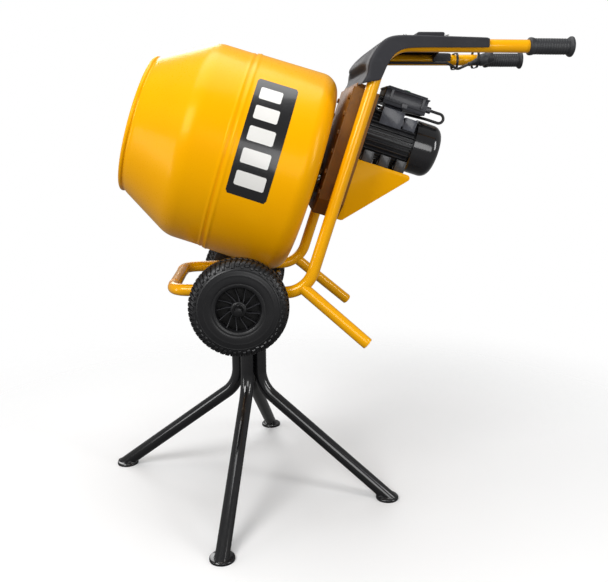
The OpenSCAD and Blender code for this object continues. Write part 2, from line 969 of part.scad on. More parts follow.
module gear_case() {
    color(dark_yellow)
        difference() {
            drive()
                difference() {
                    union() {
                        translate([0, 0, case_outer])
                            linear_extrude(case_depth)
                                case_outline(0);
                        // lugs that are welded to the side tubes
                        for (up = [-20, 200], side = [-1, 1])
                            translate([up, side > 0 ? case_half_w - 1 : -case_half_w - 50, -drive_back - 8])
                                cube([34, 51, 16]);
                    }
                    difference() {
                        translate([0, 0, case_back])
                            linear_extrude(case_depth + over)
                                case_outline(-case_wall);
                        lay_places()
                            translate([0, 0, case_back - over])
                                cylinder(r = 17, h = back_boss_h + over);
                        translate([0, 0, case_back - over])
                            cylinder(r = 31, h = back_boss_h + over);
                    }
                    lay_places()
                        translate([0, 0, case_back])
                            cylinder(r = 13, h = back_boss_h + over);
                    translate([0, 0, case_back])
                        cylinder(r = 26, h = back_boss_h + over);
                    translate([motor_up, 0, case_outer - over])
                        cylinder(r = 15, h = case_wall + 2 * over);
                }
            on_stand()
                for (side = [-1, 1])
                    tube_room(side, 1);
        }
}

module case_front() {
    color(dark_yellow)
        drive()
            difference() {
                union() {
                    translate([0, 0, case_inner])
                        linear_extrude(case_wall)
                            case_outline(0);
                    lay_places()
                        translate([0, 0, case_inner - boss_h])
                            cylinder(r = 17, h = boss_h + over);
                    translate([0, 0, case_inner - boss_h])
                        cylinder(r = 42, h = boss_h + over);
                }
                lay_places()
                    translate([0, 0, case_inner - boss_h - over])
                        cylinder(r = 13, h = boss_h + over);
                translate([0, 0, case_inner - boss_h - over])
                    cylinder(r = 36, h = boss_h + over);
                translate([0, 0, case_inner - 2 * over])
                    cylinder(r = 24, h = case_wall + 4 * over);
            }
}

module case_bolts() {
    color(steel)
        drive() {
            for (up = [-20, 35, 90, 140, 190, 234], side = [-1, 1])
                translate([up, side * (case_half_w - 11), 0])
                    cylinder(r = 7, h = 5, $fn = 6);
            for (i = [0 : 5])
                rotate([0, 0, i * 60 + 30])
                    translate([33, 0, 0])
                        cylinder(r = 5, h = 3.4, $fn = 6);
        }
}

// Plain rings stand for the ball bearings of the drum shaft and of both layshafts
module shaft_bearings() {
    color(steel)
        drive() {
            translate([0, 0, case_inner - boss_h + 1])
                ring(36, shaft_d / 2 + turn_gap, boss_h - 1);
            translate([0, 0, case_back])
                ring(26, stub_d / 2 + turn_gap, back_boss_h);
            lay_places() {
                translate([0, 0, case_inner - boss_h + 1])
                    ring(13, lay_shaft_d / 2 + turn_gap, boss_h - 1);
                translate([0, 0, case_back])
                    ring(13, lay_shaft_d / 2 + turn_gap, back_boss_h);
            }
        }
}

module shaft_seal() {
    color(rubber)
        drive()
            translate([0, 0, case_inner])
                ring(24, shaft_d / 2 + turn_gap, case_wall);
}

module layshaft(place, turned, teeth, m, from, to) {
    color(steel)
        drive()
            translate([place.x, place.y, 0]) {
                translate([0, 0, case_back + 0.5])
                    cylinder(d = lay_shaft_d, h = case_depth - case_wall - 1);
                translate([0, 0, from])
                    rotate([0, 0, turned])
                        spur(teeth, m, to - from);
            }
}

module first_layshaft() {
    layshaft(lay_a_at, lay_a_turn, lay_a_pinion_teeth, fine_module, plane_b - 0.5, plane_b + gear_b_w + 0.5);
}

module second_layshaft() {
    layshaft(lay_b_at, lay_b_turn, lay_b_pinion_teeth, coarse_module, plane_c - 0.5, plane_c + gear_c_w + 0.5);
}

module lay_gear(place, turned, teeth, level, w) {
    color(steel)
        drive()
            translate([place.x, place.y, level])
                difference() {
                    rotate([0, 0, turned])
                        spur(teeth, fine_module, w);
                    translate([0, 0, -over])
                        cylinder(d = lay_shaft_d, h = w + 2 * over);
                }
}

module first_gear() lay_gear(lay_a_at, lay_a_turn, lay_a_gear_teeth, plane_a, gear_a_w);
module second_gear() lay_gear(lay_b_at, lay_b_turn, lay_b_gear_teeth, plane_b, gear_b_w);

// ---------------------------------------------------------------------------------- motor

module on_motor() {
    drive()
        translate([motor_up, 0, 0])
            children();
}

fin_count = 32;
end_t = 6;
barrel_r = motor_r - 12;
stator_r = barrel_r - 4;
rotor_r = 36;

module motor_housing() {
    color(black)
        on_motor()
            difference() {
                union() {
                    translate([0, 0, motor_end])
                        cylinder(r = barrel_r, h = motor_body_l);
                    translate([0, 0, motor_end])
                        cylinder(r = cowl_r - cowl_wall, h = end_t);
                    for (i = [0 : fin_count - 1])
                        rotate([0, 0, (i + 0.5) * 360 / fin_count])
                            translate([barrel_r - 2, -1.2, motor_end + 10])
                                cube([motor_r - barrel_r + 2, 2.4, motor_body_l - 14]);
                }
                translate([0, 0, motor_end + end_t])
                    cylinder(r = stator_r, h = motor_body_l);
                translate([0, 0, motor_end - over])
                    cylinder(r = motor_shaft_d / 2 + turn_gap, h = end_t + 2 * over);
            }
}

module motor_flange() {
    color(black)
        on_motor()
            difference() {
                union() {
                    translate([0, 0, motor_face])
                        cylinder(r = motor_r - 1, h = case_outer - motor_face);
                    translate([0, 0, motor_face - 14])
                        cylinder(r = 24, h = 14 + over);
                }
                translate([0, 0, motor_face - 14 - over])
                    cylinder(r = motor_shaft_d / 2 + turn_gap, h = 40);
            }
}

module stator() {
    color("#7a4a2a")
        on_motor()
            translate([0, 0, motor_end + 30])
                ring(stator_r, rotor_r + 0.6, motor_body_l - 60);
}

module motor_rotor() {
    color(steel)
        on_motor() {
            translate([0, 0, motor_end + 32])
                cylinder(r = rotor_r, h = motor_body_l - 64);
            translate([0, 0, cowl_end + 22])
                cylinder(d = motor_shaft_d, h = plane_a - 0.5 - cowl_end - 22);
        }
}

module motor_pinion() {
    color(steel)
        on_motor()
            translate([0, 0, plane_a - 0.5])
                rotate([0, 0, motor_turn])
                    spur(motor_teeth, fine_module, gear_a_w + 1);
}

fan_blades = 8;

module cooling_fan() {
    fan_r = cowl_r - 10;
    color(black)
        on_motor()
            translate([0, 0, cowl_end + 26])
                difference() {
                    union() {
                        cylinder(r = 20, h = 22);
                        cylinder(r = fan_r, h = 2.5);
                        for (i = [0 : fan_blades - 1])
                            rotate([0, 0, i * 360 / fan_blades])
                                translate([18, -1.25, 1])
                                    cube([fan_r - 20, 2.5, 21]);
                    }
                    translate([0, 0, -over])
                        cylinder(d = motor_shaft_d, h = 30);
                }
}

cowl_round = 26;
cowl_wall = 2.5;
vent_rows = 3;

function cowl_outline(wall) =
    concat(
        [[0, wall]],
        arc([cowl_r - cowl_round, cowl_round], cowl_round - wall, -90, 0, 8)
    );

module fan_cowl() {
    color(black)
        on_motor()
            translate([0, 0, cowl_end])
                difference() {
                    rotate_extrude()
                        polygon(concat(cowl_outline(0), [[cowl_r, cowl_l], [0, cowl_l]]));
                    rotate_extrude()
                        polygon(concat(cowl_outline(cowl_wall), [[cowl_r - cowl_wall, cowl_l + over], [0, cowl_l + over]]));
                    // air inlets in the back
                    for (row = [1 : vent_rows], i = [0 : 6 * row - 1])
                        rotate([0, 0, i * 60 / row])
                            translate([13 * row, 0, -over])
                                cylinder(r = 3.4, h = 10, $fn = 20);
                }
}

// Cast lumps under the motor that rest on its bracket
module motor_feet() {
    color(black)
        drive()
            difference() {
                for (along = [motor_face - 40, motor_face - 88, motor_face - 134], side = [-1, 1])
                    translate([bracket_top, side * 48 - 14, along])
                        cube([32, 28, 30]);
                translate([motor_up, 0, motor_end - over])
                    cylinder(r = motor_r + 0.05, h = motor_body_l + 2 * over);
            }
}

// The cover over the motor's connections, and the smaller one over its capacitor
module terminal_cover() {
    color(black)
        drive()
            difference() {
                union() {
                    translate([motor_up + 30, -62, -166])
                        cube([46, 82, 62]);
                    translate([motor_up + 34, -62, -205])
                        cube([32, 38, 34]);
                    translate([motor_up + 74, -30, -160])
                        cube([box_up - motor_up - 74.5, 50, 50]);
                    translate([motor_up + 40, -58, -172])
                        cube([18, 16, 8]);
                }
                translate([motor_up, 0, motor_end - over])
                    cylinder(r = motor_r + 0.05, h = motor_body_l + 2 * over);
            }
}

// ---------------------------------------------------------------------------------- motor bracket

bracket_half_w = 104;
bracket_top = 90;
bracket_reach = 226;
sheet_t = 3;

// Side view of the folded guard: a three-cornered box with two soft corners
module bracket_outline(wall) {
    polygon(concat(
        [[bracket_top - wall, case_outer]],
        arc([bracket_top - 9, -bracket_reach + 9], 9 - wall / 3, 0, -120, 5) ,
        arc([-case_bottom + 12, case_outer - 10], 12 - wall, -120, -180, 4),
        [[-case_bottom + wall, case_outer]]
    ));
}

module motor_bracket() {
    color(yellow)
        drive()
            difference() {
                translate([0, bracket_half_w, 0])
                    rotate([90, 0, 0])
                        linear_extrude(2 * bracket_half_w)
                            bracket_outline(0);
                translate([0, bracket_half_w - sheet_t, 0])
                    rotate([90, 0, 0])
                        linear_extrude(2 * (bracket_half_w - sheet_t))
                            translate([0, over])
                                bracket_outline(sheet_t);
            }
}

// ---------------------------------------------------------------------------------- switch box

module switch_box() {
    wall = 3;
    color(black)
        drive()
            difference() {
                union() {
                    translate([box_up, -box_w / 2, box_end])
                        cube([box_h, box_w, box_l]);
                    // arm that holds the box to the gear case
                    translate([box_up + 6, -30, box_start - over])
                        cube([5, 60, case_outer - box_start + over]);
                    translate([case_top - 16, -30, case_outer - 4])
                        cube([box_up - case_top + 27, 60, 4]);
                }
                translate([box_up + wall, -box_w / 2 + wall, box_end + wall])
                    cube([box_h, box_w - 2 * wall, box_l - 2 * wall]);
                translate([box_up + 20, gland_y, box_end - over])
                    cylinder(r = gland_r - 3, h = wall + 2 * over);
            }
}

button_at = [[-22, -30], [22, -30]];

module box_lid() {
    middle = (box_start + box_end) / 2;
    color(black)
        drive()
            difference() {
                union() {
                    translate([box_top, -box_w / 2 - 2, box_end - 2])
                        cube([4, box_w + 4, box_l + 4]);
                    for (rib = [0 : 7])
                        translate([box_top + 3, -box_w / 2 - 1, box_end + 4 + rib * (box_l - 12) / 7])
                            cube([lid_h - 3, box_w + 2, 4]);
                    translate([box_top + 3, -44, middle - 22])
                        cube([lid_h - 3, 88, 44]);
                    // two hooks that clip over the box
                    for (along = [box_start - 16, box_end + 12])
                        translate([box_top - 26, -box_w / 2 - 3, along])
                            cube([27, 3, 5]);
                }
                for (place = [-22, 22])
                    translate([box_top - over, place, middle])
                        rotate([0, 90, 0])
                            cylinder(r = button_r + slide_gap, h = lid_h + 2 * over);
            }
}

module button(place) {
    middle = (box_start + box_end) / 2;
    drive()
        translate([box_top - 8, place, middle])
            rotate([0, 90, 0])
                cylinder(r = button_r, h = 8 + lid_h + button_h - 3);
}

module start_button() {
    color("#1f8a3b")
        button(-22);
}

module stop_button() {
    color("#c4201c")
        button(22);
}

gland_y = -30;
gland_r = 9;
gland_l = 16;

module cable_gland() {
    color(black)
        drive()
            translate([box_up + 20, gland_y, box_end - gland_l])
                difference() {
                    union() {
                        cylinder(r = gland_r, h = gland_l, $fn = 6);
                        cylinder(r = gland_r - 3, h = gland_l + 4);
                    }
                    translate([0, 0, -over])
                        cylinder(d = lead_d, h = gland_l + 8);
                }
}

// ---------------------------------------------------------------------------------- cables

cable_sides = 8;

module motor_cable() {
    path = [
        [box_up + 14, -44, box_start],
        [box_up + 14, -44, box_start + 13],
        [motor_up + 62, -50, box_start + 13],
        [motor_up + 62, -50, -104]
    ];
    color(rubber)
        drive()
            tube(path, [10, 10], 4, 0, cable_sides);
}

// The lead leaves the gland, turns back under the box, runs up into the hood and along the far handle,
// and ends in its plug, which is strapped to that handle
lead_low = [
    [box_up + 20, gland_y, box_end - gland_l],
    [box_up + 20, gland_y, box_end - 58],
    [box_up - 5, gland_y, box_end - 58],
    [box_up - 5, gland_y, box_end - 10],
    [box_up - 5, 70, -150],
    [box_up - 5, 70, -90],
    [340, 120, -90]
];
lead_high = [
    [30, 150, -12],
    [240, 148, -12],
    [272, 148, -30],
    [304, 148, -16]
];
plug_way = [0.95, 0, 0.31];

// Turns a place in the drive's directions into one from the stand's axis
function from_drive(p) =
    let (up = p.x + drum_up, ahead = p.z + drive_back)
    [
        heel_x + up * sin(frame_tilt) - ahead * cos(frame_tilt),
        p.y,
        heel_z + up * cos(frame_tilt) + ahead * sin(frame_tilt)
    ];

function lead_path() = concat(
    [for (p = lead_low) from_drive(p)],
    [for (p = lead_high) [bend_x + p.x, p.y, handle_z + p.z]]
);

module mains_lead() {
    path = lead_path();
    color(rubber)
        on_stand()
            tube(path, [13, 13, 18, 18, 20, 16, 16, 20, 16], lead_d / 2, 0, cable_sides);
}

plug_l = 76;

module lead_plug() {
    path = lead_path();
    color(black)
        on_stand()
            translate(path[len(path) - 1])
                aim(plug_way) {
                    cylinder(r1 = lead_d / 2 + 1, r2 = 12, h = plug_l * 0.4);
                    translate([0, 0, plug_l * 0.4])
                        cylinder(r = 17, h = plug_l * 0.6);
                }
}

// ---------------------------------------------------------------------------------- hood and grips

module grips() {
    lip_r = grip_d / 2 + 5;
    color(rubber)
        on_stand()
            for (side = [-1, 1]) {
                path = side_path(side);
                ahead = unit(path[0] - path[1]);
                difference() {
                    translate(path[0] + ahead * 3)
                        aim(-ahead)
                            rotate_extrude()
                                polygon([
                                    [0, 0], [lip_r - 2, 0], [lip_r, 2], [lip_r, 7], [lip_r - 3, 10], [grip_d / 2, 12],
                                    [grip_d / 2 - 1, grip_l / 2], [grip_d / 2 + 1, grip_l - 12],
                                    [grip_d / 2 + 2, grip_l - 6], [grip_d / 2 + 1, grip_l], [0, grip_l]
                                ]);
                    bar(path[1], path[0], tube_d / 2);
                }
            }
}

hood_end = handle_l - grip_l - bare_tube_l;
hood_half_w = bend_y + 22;
arm_w = 50;
deck_end = hood_end - 56;
crown_h = 16;
hood_low = -90;
tube_room_r = tube_bend_r - tube_d / 2 + 10;

// Side view of the hood, from the corner of the upper bend
module hood_outline() {
    hub = [tube_bend_r * tan((90 - frame_tilt) / 2), -tube_bend_r];
    slant = tan(frame_tilt);
    front = hood_low * slant - tube_d / 2 - 2;
    polygon(concat(
        [[hood_low * slant + tube_d * 0.45, hood_low + 5]],
        [[front - 16, hood_low - 4], [front - 11, hood_low + 5], [front - 4, hood_low + 15]],
        [[front - 1, hood_low + 25], [front - 1, hood_low + 43]],
        arc(hub, tube_bend_r + 33, 156, 112, 6),
        [[60, 26], [hood_end - 4, 20], [hood_end, 16], [hood_end, -3], [hood_end - 4, -7]],
        arc(hub, tube_room_r, 90, 180 - frame_tilt, 8)
    ));
}

// The hood's solid drawn inside a wall: a wide part over the bend and an arm along each handle
module hood_body(wall) {
    half = hood_half_w - wall;
    translate([0, half, 0])
        rotate([90, 0, 0])
            linear_extrude(2 * half)
                intersection() {
                    offset(delta = -wall)
                        hood_outline();
                    translate([-200, -200])
                        square([200 + deck_end - wall, 400]);
                }
    for (side = [-1, 1])
        translate([0, side * (hood_half_w - arm_w / 2) + arm_w / 2 - wall, 0])
            rotate([90, 0, 0])
                linear_extrude(arm_w - 2 * wall)
                    offset(delta = -wall)
                        hood_outline();
    // low crown between the arms
    translate([30 + wall, 0, 0])
        rotate([90, 0, 90])
            linear_extrude(deck_end - 30 - 2 * wall)
                polygon([
                    [-hood_half_w + arm_w, 0], [hood_half_w - arm_w, 0], [hood_half_w - arm_w, 18 - wall],
                    [90, 22 + crown_h - wall], [-90, 22 + crown_h - wall], [-hood_half_w + arm_w, 18 - wall]
                ]);
}

// A raised pad across the middle of the hood, drawn inside a wall
module hood_pad(wall) {
    pad_l = 72;
    pad_half_w = 124;
    translate([94 + wall, wall - pad_half_w, 20])
        cube([pad_l - 2 * wall, 2 * (pad_half_w - wall), crown_h + 6 - wall]);
}

module hood() {
    gap = 0.4;
    color(black)
        difference() {
            on_stand()
                translate([bend_x, 0, handle_z]) {
                    difference() {
                        union() {
                            hood_body(0);
                            hood_pad(0);
                        }
                        hood_body(hood_wall);
                        hood_pad(hood_wall);
                        translate([6, 0, -6])
                            hood_body(hood_wall);
                        for (side = [-1, 1])
                            bar([0, side * bend_y, 0], [handle_l - 3, side * grip_y, 0], tube_d / 2 + gap);
                    }
                }
            drive()
                translate([0, 0, case_outer])
                    linear_extrude(front_face - case_outer + gap)
                        case_outline(gap);
        }
}

module hood_screws() {
    color(steel)
        on_stand()
            for (along = [70, deck_end - 20], side = [-1, 1])
                translate([bend_x + along, side * 75, handle_z + 22 + crown_h])
                    cylinder(r = 5, h = 2.5);
}

// ---------------------------------------------------------------------------------- nodes

leg_right();
leg_far();
leg_left();
leg_near();
feet();
stand_socket();
swivel_yoke();
swivel_spindle();
thrust_washer();
axle_keepers();
side_tube_near();
side_tube_far();
front_bar();
rear_props();
axle();
axle_saddles();
axle_washers();
split_pins();
tyre_near();
tyre_far();
wheel_rim_near();
wheel_rim_far();
gear_case();
case_front();
case_bolts();
shaft_bearings();
shaft_seal();
motor_bracket();
motor_housing();
motor_flange();
stator();
fan_cowl();
terminal_cover();
motor_feet();
motor_rotor();
motor_pinion();
cooling_fan();
first_layshaft();
first_gear();
second_layshaft();
second_gear();
drum_bowl();
drum_cone();
mouth_ring();
paddles();
paddle_bolts();
drum_hub();
drum_shaft();
output_gear();
switch_box();
box_lid();
start_button();
stop_button();
cable_gland();
motor_cable();
mains_lead();
lead_plug();
hood();
grips();
hood_screws();
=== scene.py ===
"""Concrete mixer: camera, light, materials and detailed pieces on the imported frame."""
import json
import math

import bmesh
import bpy
from mathutils import Matrix, Vector


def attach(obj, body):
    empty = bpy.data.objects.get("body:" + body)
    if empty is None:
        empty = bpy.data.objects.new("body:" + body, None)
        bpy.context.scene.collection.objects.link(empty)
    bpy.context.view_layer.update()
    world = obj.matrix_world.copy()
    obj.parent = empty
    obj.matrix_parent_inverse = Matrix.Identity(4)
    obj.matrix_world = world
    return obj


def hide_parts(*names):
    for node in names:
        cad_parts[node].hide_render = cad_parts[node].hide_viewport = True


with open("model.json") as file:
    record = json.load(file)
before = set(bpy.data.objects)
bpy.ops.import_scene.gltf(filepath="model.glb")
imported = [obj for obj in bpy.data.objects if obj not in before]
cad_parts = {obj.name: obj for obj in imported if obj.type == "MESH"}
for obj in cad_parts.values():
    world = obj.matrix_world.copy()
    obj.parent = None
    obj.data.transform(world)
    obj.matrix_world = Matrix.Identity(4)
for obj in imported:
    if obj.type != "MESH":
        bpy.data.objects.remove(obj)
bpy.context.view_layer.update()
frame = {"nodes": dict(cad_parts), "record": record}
NODES = frame["nodes"]
TAU = 2 * math.pi
MM = 0.001

# ------------------------------------------------------------------ camera

cam_data = bpy.data.cameras.new("camera")
cam_data.lens = 42.38
cam_data.sensor_width = 36
cam_data.clip_end = 200
cam = bpy.data.objects.new("camera", cam_data)
cam.location = (-0.1380, -2.0460, 1.0661)
cam.rotation_euler = (math.pi / 2 - 0.22444, 0, -0.05099)
bpy.context.scene.collection.objects.link(cam)
bpy.context.scene.camera = cam

# ------------------------------------------------------------------ places, in millimetres

STAND_X = -197.922
TILT = math.radians(17.5)
HEEL_X, HEEL_Y, HEEL_Z = 160.0, 219.0, 643.0
BEND_X, BEND_Y, HANDLE_Z = 356.116, 200.0, 1265.0
HANDLE_END, GRIP_Y = 832.116, 186.0
NOSE_X, NOSE_Y, NOSE_RUN, NOSE_BEND = -198.0, 162.0, 60.0, 46.0
TUBE_R, TUBE_BEND = 16.0, 80.0
AXLE = Vector((-16.0, 0.0, 617.0))

STAND = Matrix.Translation(Vector((STAND_X, 0, 0)) * MM) @ Matrix.Scale(MM, 4)
DRIVE = (
    Matrix.Translation(Vector((7.526, 0, 920.162)) * MM)
    @ Matrix(
        (
            (math.sin(TILT), 0, -math.cos(TILT), 0),
            (0, 1, 0, 0),
            (math.cos(TILT), 0, math.sin(TILT), 0),
            (0, 0, 0, 1),
        )
    )
    @ Matrix.Scale(MM, 4)
)


def aimed(base, point, ahead):
    """base, moved to a point, with Z along a direction."""
    turn = Vector(ahead).to_track_quat("Z", "Y").to_matrix().to_4x4()
    return base @ Matrix.Translation(Vector(point)) @ turn


MOTOR_UP = 169
MOTOR = DRIVE @ Matrix.Translation((MOTOR_UP, 0, 0))


# ------------------------------------------------------------------ materials


def node_set(name):
    mat = bpy.data.materials.new(name)
    mat.use_nodes = True
    nt = mat.node_tree
    return mat, nt, nt.nodes["Principled BSDF"]


def noise_node(nt, scale, detail=3.0, rough=0.55, stretch=None):
    coord = nt.nodes.new("ShaderNodeTexCoord")
    noise = nt.nodes.new("ShaderNodeTexNoise")
    noise.inputs["Scale"].default_value = scale
    noise.inputs["Detail"].default_value = detail
    noise.inputs["Roughness"].default_value = rough
    if stretch:
        mapping = nt.nodes.new("ShaderNodeMapping")
        mapping.inputs["Scale"].default_value = stretch
        nt.links.new(coord.outputs["Object"], mapping.inputs["Vector"])
        nt.links.new(mapping.outputs["Vector"], noise.inputs["Vector"])
    else:
        nt.links.new(coord.outputs["Object"], noise.inputs["Vector"])
    return noise


def spread(nt, source, low, high, start=0.3, end=0.7):
    node = nt.nodes.new("ShaderNodeMapRange")
    node.inputs["From Min"].default_value = start
    node.inputs["From Max"].default_value = end
    node.inputs["To Min"].default_value = low
    node.inputs["To Max"].default_value = high
    nt.links.new(source, node.inputs["Value"])
    return node.outputs["Result"]


def mix_colour(nt, factor, a, b):
    node = nt.nodes.new("ShaderNodeMix")
    node.data_type = "RGBA"
    nt.links.new(factor, node.inputs["Factor"])
    for socket, value in ((node.inputs[6], a), (node.inputs[7], b)):
        if isinstance(value, (tuple, list)):
            socket.default_value = (*value, 1)
        else:
            nt.links.new(value, socket)
    return node.outputs[2]


def finish_of(
    name, base, other, rough, metal=0.0, coat=0.0, coat_rough=0.08, tone=7.0, grain=400.0,
    bump=0.05, depth=0.0004, wear=None, wear_amount=0.0, specular=0.5, stretch=None, tint=(1, 1, 1),
):
    """A finish with a drifting tone, uneven gloss, a fine surface grain and worn or dusty spots."""
    mat, nt, bsdf = node_set(name)
    drift = noise_node(nt, tone, 4.0, stretch=stretch)
    fine = noise_node(nt, grain, 2.0, stretch=stretch)
    colour = mix_colour(nt, spread(nt, drift.outputs["Fac"], 0.0, 1.0), base, other)
    if wear:
        spots = noise_node(nt, tone * 5, 8.0, 0.7)
        worn = spread(nt, spots.outputs["Fac"], 0.0, wear_amount, 0.52, 0.72)
        colour = mix_colour(nt, worn, colour, wear)
    nt.links.new(colour, bsdf.inputs["Base Color"])
    nt.links.new(spread(nt, fine.outputs["Fac"], rough[0], rough[1]), bsdf.inputs["Roughness"])
    bump_node = nt.nodes.new("ShaderNodeBump")
    bump_node.inputs["Strength"].default_value = bump
    bump_node.inputs["Distance"].default_value = depth
    nt.links.new(fine.outputs["Fac"], bump_node.inputs["Height"])
    nt.links.new(bump_node.outputs["Normal"], bsdf.inputs["Normal"])
    bsdf.inputs["Metallic"].default_value = metal
    bsdf.inputs["Coat Weight"].default_value = coat
    bsdf.inputs["Coat Roughness"].default_value = coat_rough
    bsdf.inputs["Specular IOR Level"].default_value = specular
    bsdf.inputs["Specular Tint"].default_value = (*tint, 1)
    return mat


YELLOW = (0.93, 0.425, 0.0)
YELLOW_DEEP = (0.90, 0.395, 0.0)
GOLD_GLOSS = (1.0, 0.72, 0.12)
MAT = {
    "yellow_paint": finish_of(
        "yellow_paint", YELLOW, YELLOW_DEEP, (0.26, 0.34), coat=0.06, coat_rough=0.12, grain=260,
        bump=0.035, specular=0.36, tint=GOLD_GLOSS),
    # the gear case's paint is the frame's yellow darkened to brown: painted shade for the dark gap between
    # drum and side tube. Its darker mottled spots are grease and further painted shade
    "case_paint": finish_of(
        "case_paint", (0.24, 0.095, 0.006), (0.17, 0.065, 0.006), (0.42, 0.55), coat=0.02, grain=260,
        bump=0.04, wear=(0.09, 0.04, 0.015), wear_amount=0.6, specular=0.3),
    "black_paint": finish_of(
        "black_paint", (0.006, 0.006, 0.007), (0.009, 0.009, 0.010), (0.14, 0.22), coat=0.6,
        coat_rough=0.05, grain=240, bump=0.04, wear=(0.02, 0.019, 0.017), wear_amount=0.4),
    "zinc_steel": finish_of(
        "zinc_steel", (0.55, 0.55, 0.54), (0.44, 0.45, 0.46), (0.22, 0.4), metal=1.0, tone=30, grain=700,
        wear=(0.3, 0.27, 0.2), wear_amount=0.3),
    "machined_steel": finish_of(
        "machined_steel", (0.5, 0.5, 0.5), (0.38, 0.38, 0.39), (0.18, 0.34), metal=1.0, tone=40, grain=900,
        stretch=(1, 1, 6)),
    "paddle_steel": finish_of(
        "paddle_steel", (0.80, 0.36, 0.01), (0.66, 0.34, 0.06), (0.3, 0.5), grain=300, bump=0.1,
        wear=(0.42, 0.38, 0.32), wear_amount=0.7),
    "tyre_rubber": finish_of(
        "tyre_rubber", (0.006, 0.006, 0.007), (0.009, 0.009, 0.010), (0.32, 0.42), tone=16, grain=900,
        bump=0.05, wear=(0.018, 0.017, 0.017), wear_amount=0.3, specular=0.45),
    "grip_rubber": finish_of(
        "grip_rubber", (0.020, 0.021, 0.024), (0.027, 0.028, 0.031), (0.42, 0.56), tone=20, grain=800,
        bump=0.16, wear=(0.05, 0.05, 0.052), wear_amount=0.3, specular=0.42),
    "cable_rubber": finish_of(
        "cable_rubber", (0.010, 0.010, 0.011), (0.015, 0.015, 0.016), (0.35, 0.5), tone=30, grain=900,
        bump=0.1),
    "black_plastic": finish_of(
        "black_plastic", (0.017, 0.017, 0.021), (0.023, 0.023, 0.028), (0.5, 0.62), tone=9, grain=1300,
        bump=0.22, depth=0.0003, wear=(0.055, 0.054, 0.060), wear_amount=0.22, specular=0.28),
    "wheel_plastic": finish_of(
        "wheel_plastic", (0.006, 0.006, 0.007), (0.010, 0.010, 0.011), (0.28, 0.42), tone=25, grain=900,
        bump=0.12, wear=(0.04, 0.038, 0.036), wear_amount=0.35),
    "motor_casting": finish_of(
        "motor_casting", (0.020, 0.021, 0.024), (0.030, 0.031, 0.035), (0.28, 0.42), coat=0.25, tone=25,
        grain=600, bump=0.3, depth=0.0006, wear=(0.055, 0.056, 0.06), wear_amount=0.3),
    "motor_cowl": finish_of(
        "motor_cowl", (0.008, 0.008, 0.009), (0.011, 0.011, 0.013), (0.13, 0.2), coat=0.7, coat_rough=0.04,
        grain=300, bump=0.03),
    "winding": finish_of(
        "winding", (0.34, 0.13, 0.04), (0.42, 0.2, 0.08), (0.3, 0.5), metal=0.7, tone=60, grain=900,
        stretch=(1, 12, 1)),
    "nylon": finish_of("nylon", (0.72, 0.70, 0.62), (0.66, 0.64, 0.55), (0.35, 0.5), tone=30, grain=900),
    "green_plastic": finish_of(
        "green_plastic", (0.02, 0.26, 0.06), (0.02, 0.22, 0.05), (0.2, 0.32), coat=0.3, tone=40, grain=900),
    "red_plastic": finish_of(
        "red_plastic", (0.45, 0.012, 0.010), (0.38, 0.010, 0.010), (0.2, 0.32), coat=0.3, tone=40,
        grain=900),
}
MAT["tube_paint"] = finish_of(
    "tube_paint", YELLOW, YELLOW_DEEP, (0.22, 0.28), coat=0.5, coat_rough=0.06, grain=200, bump=0.008,
    tint=GOLD_GLOSS)
MAT["dark_steel"] = finish_of(
    "dark_steel", (0.012, 0.012, 0.013), (0.008, 0.008, 0.009), (0.26, 0.4), metal=0.4, tone=40, grain=800,
    wear=(0.07, 0.065, 0.06), wear_amount=0.3)
MAT["drum_inside"] = finish_of(
    "drum_inside", (0.70, 0.31, 0.01), (0.56, 0.28, 0.03), (0.35, 0.6), tone=6, grain=300, bump=0.12,
    wear=(0.34, 0.31, 0.27), wear_amount=0.75)
MAT["terminal_grey"] = finish_of(
    "terminal_grey", (0.085, 0.092, 0.115), (0.038, 0.042, 0.055), (0.24, 0.4), coat=0.3, tone=45,
    grain=700, bump=0.25, wear=(0.17, 0.18, 0.21), wear_amount=0.5)
MAT["box_plastic"] = finish_of(
    "box_plastic", (0.040, 0.042, 0.053), (0.028, 0.030, 0.038), (0.3, 0.45), coat=0.15, tone=30, grain=900,
    bump=0.2, wear=(0.09, 0.095, 0.115), wear_amount=0.4)
MAT["decal_dark"] = finish_of(
    "decal_dark", (0.007, 0.007, 0.008), (0.010, 0.010, 0.011), (0.2, 0.28), coat=0.4, grain=500, bump=0.02)
MAT["decal_pale"] = finish_of(
    "decal_pale", (0.80, 0.79, 0.76), (0.74, 0.73, 0.70), (0.28, 0.36), coat=0.3, grain=500, bump=0.02)
MAT["weld"] = finish_of(
    "weld", (0.80, 0.33, 0.004), (0.70, 0.28, 0.003), (0.22, 0.34), coat=0.4, tone=90, grain=420, bump=0.5,
    depth=0.0012)
MAT["spoke_plastic"] = finish_of(
    "spoke_plastic", (0.022, 0.022, 0.025), (0.032, 0.032, 0.036), (0.24, 0.36), tone=25, grain=900,
    bump=0.1)
# a matte near-black: a dark seam line on the switch box, and painted shade on the wheel's recessed web
MAT["cavity"] = finish_of("cavity", (0.004, 0.004, 0.004), (0.006, 0.006, 0.006), (0.6, 0.8), grain=600)


# ------------------------------------------------------------------ mesh helpers


def piece(name, verts, faces, base, mat, body, replaces=(), sharp=35.0, slot=None, flip=False):
    """A mesh piece from points in millimetres in the base frame."""
    mesh = bpy.data.meshes.new(name)
    mesh.from_pydata([base @ Vector(v) for v in verts], [], faces)
    bm = bmesh.new()
    bm.from_mesh(mesh)
    bmesh.ops.remove_doubles(bm, verts=bm.verts, dist=1e-6)
    bmesh.ops.recalc_face_normals(bm, faces=bm.faces)
    if flip:
        bmesh.ops.reverse_faces(bm, faces=bm.faces)
    for f in bm.faces:
        f.smooth = True
    bm.to_mesh(mesh)
    bm.free()
    mesh.set_sharp_from_angle(angle=math.radians(sharp))
    obj = bpy.data.objects.new(name, mesh)
    bpy.context.scene.collection.objects.link(obj)
    mesh.materials.append(MAT[mat])
    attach(obj, body)
    if replaces:
        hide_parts(*replaces)
    return obj


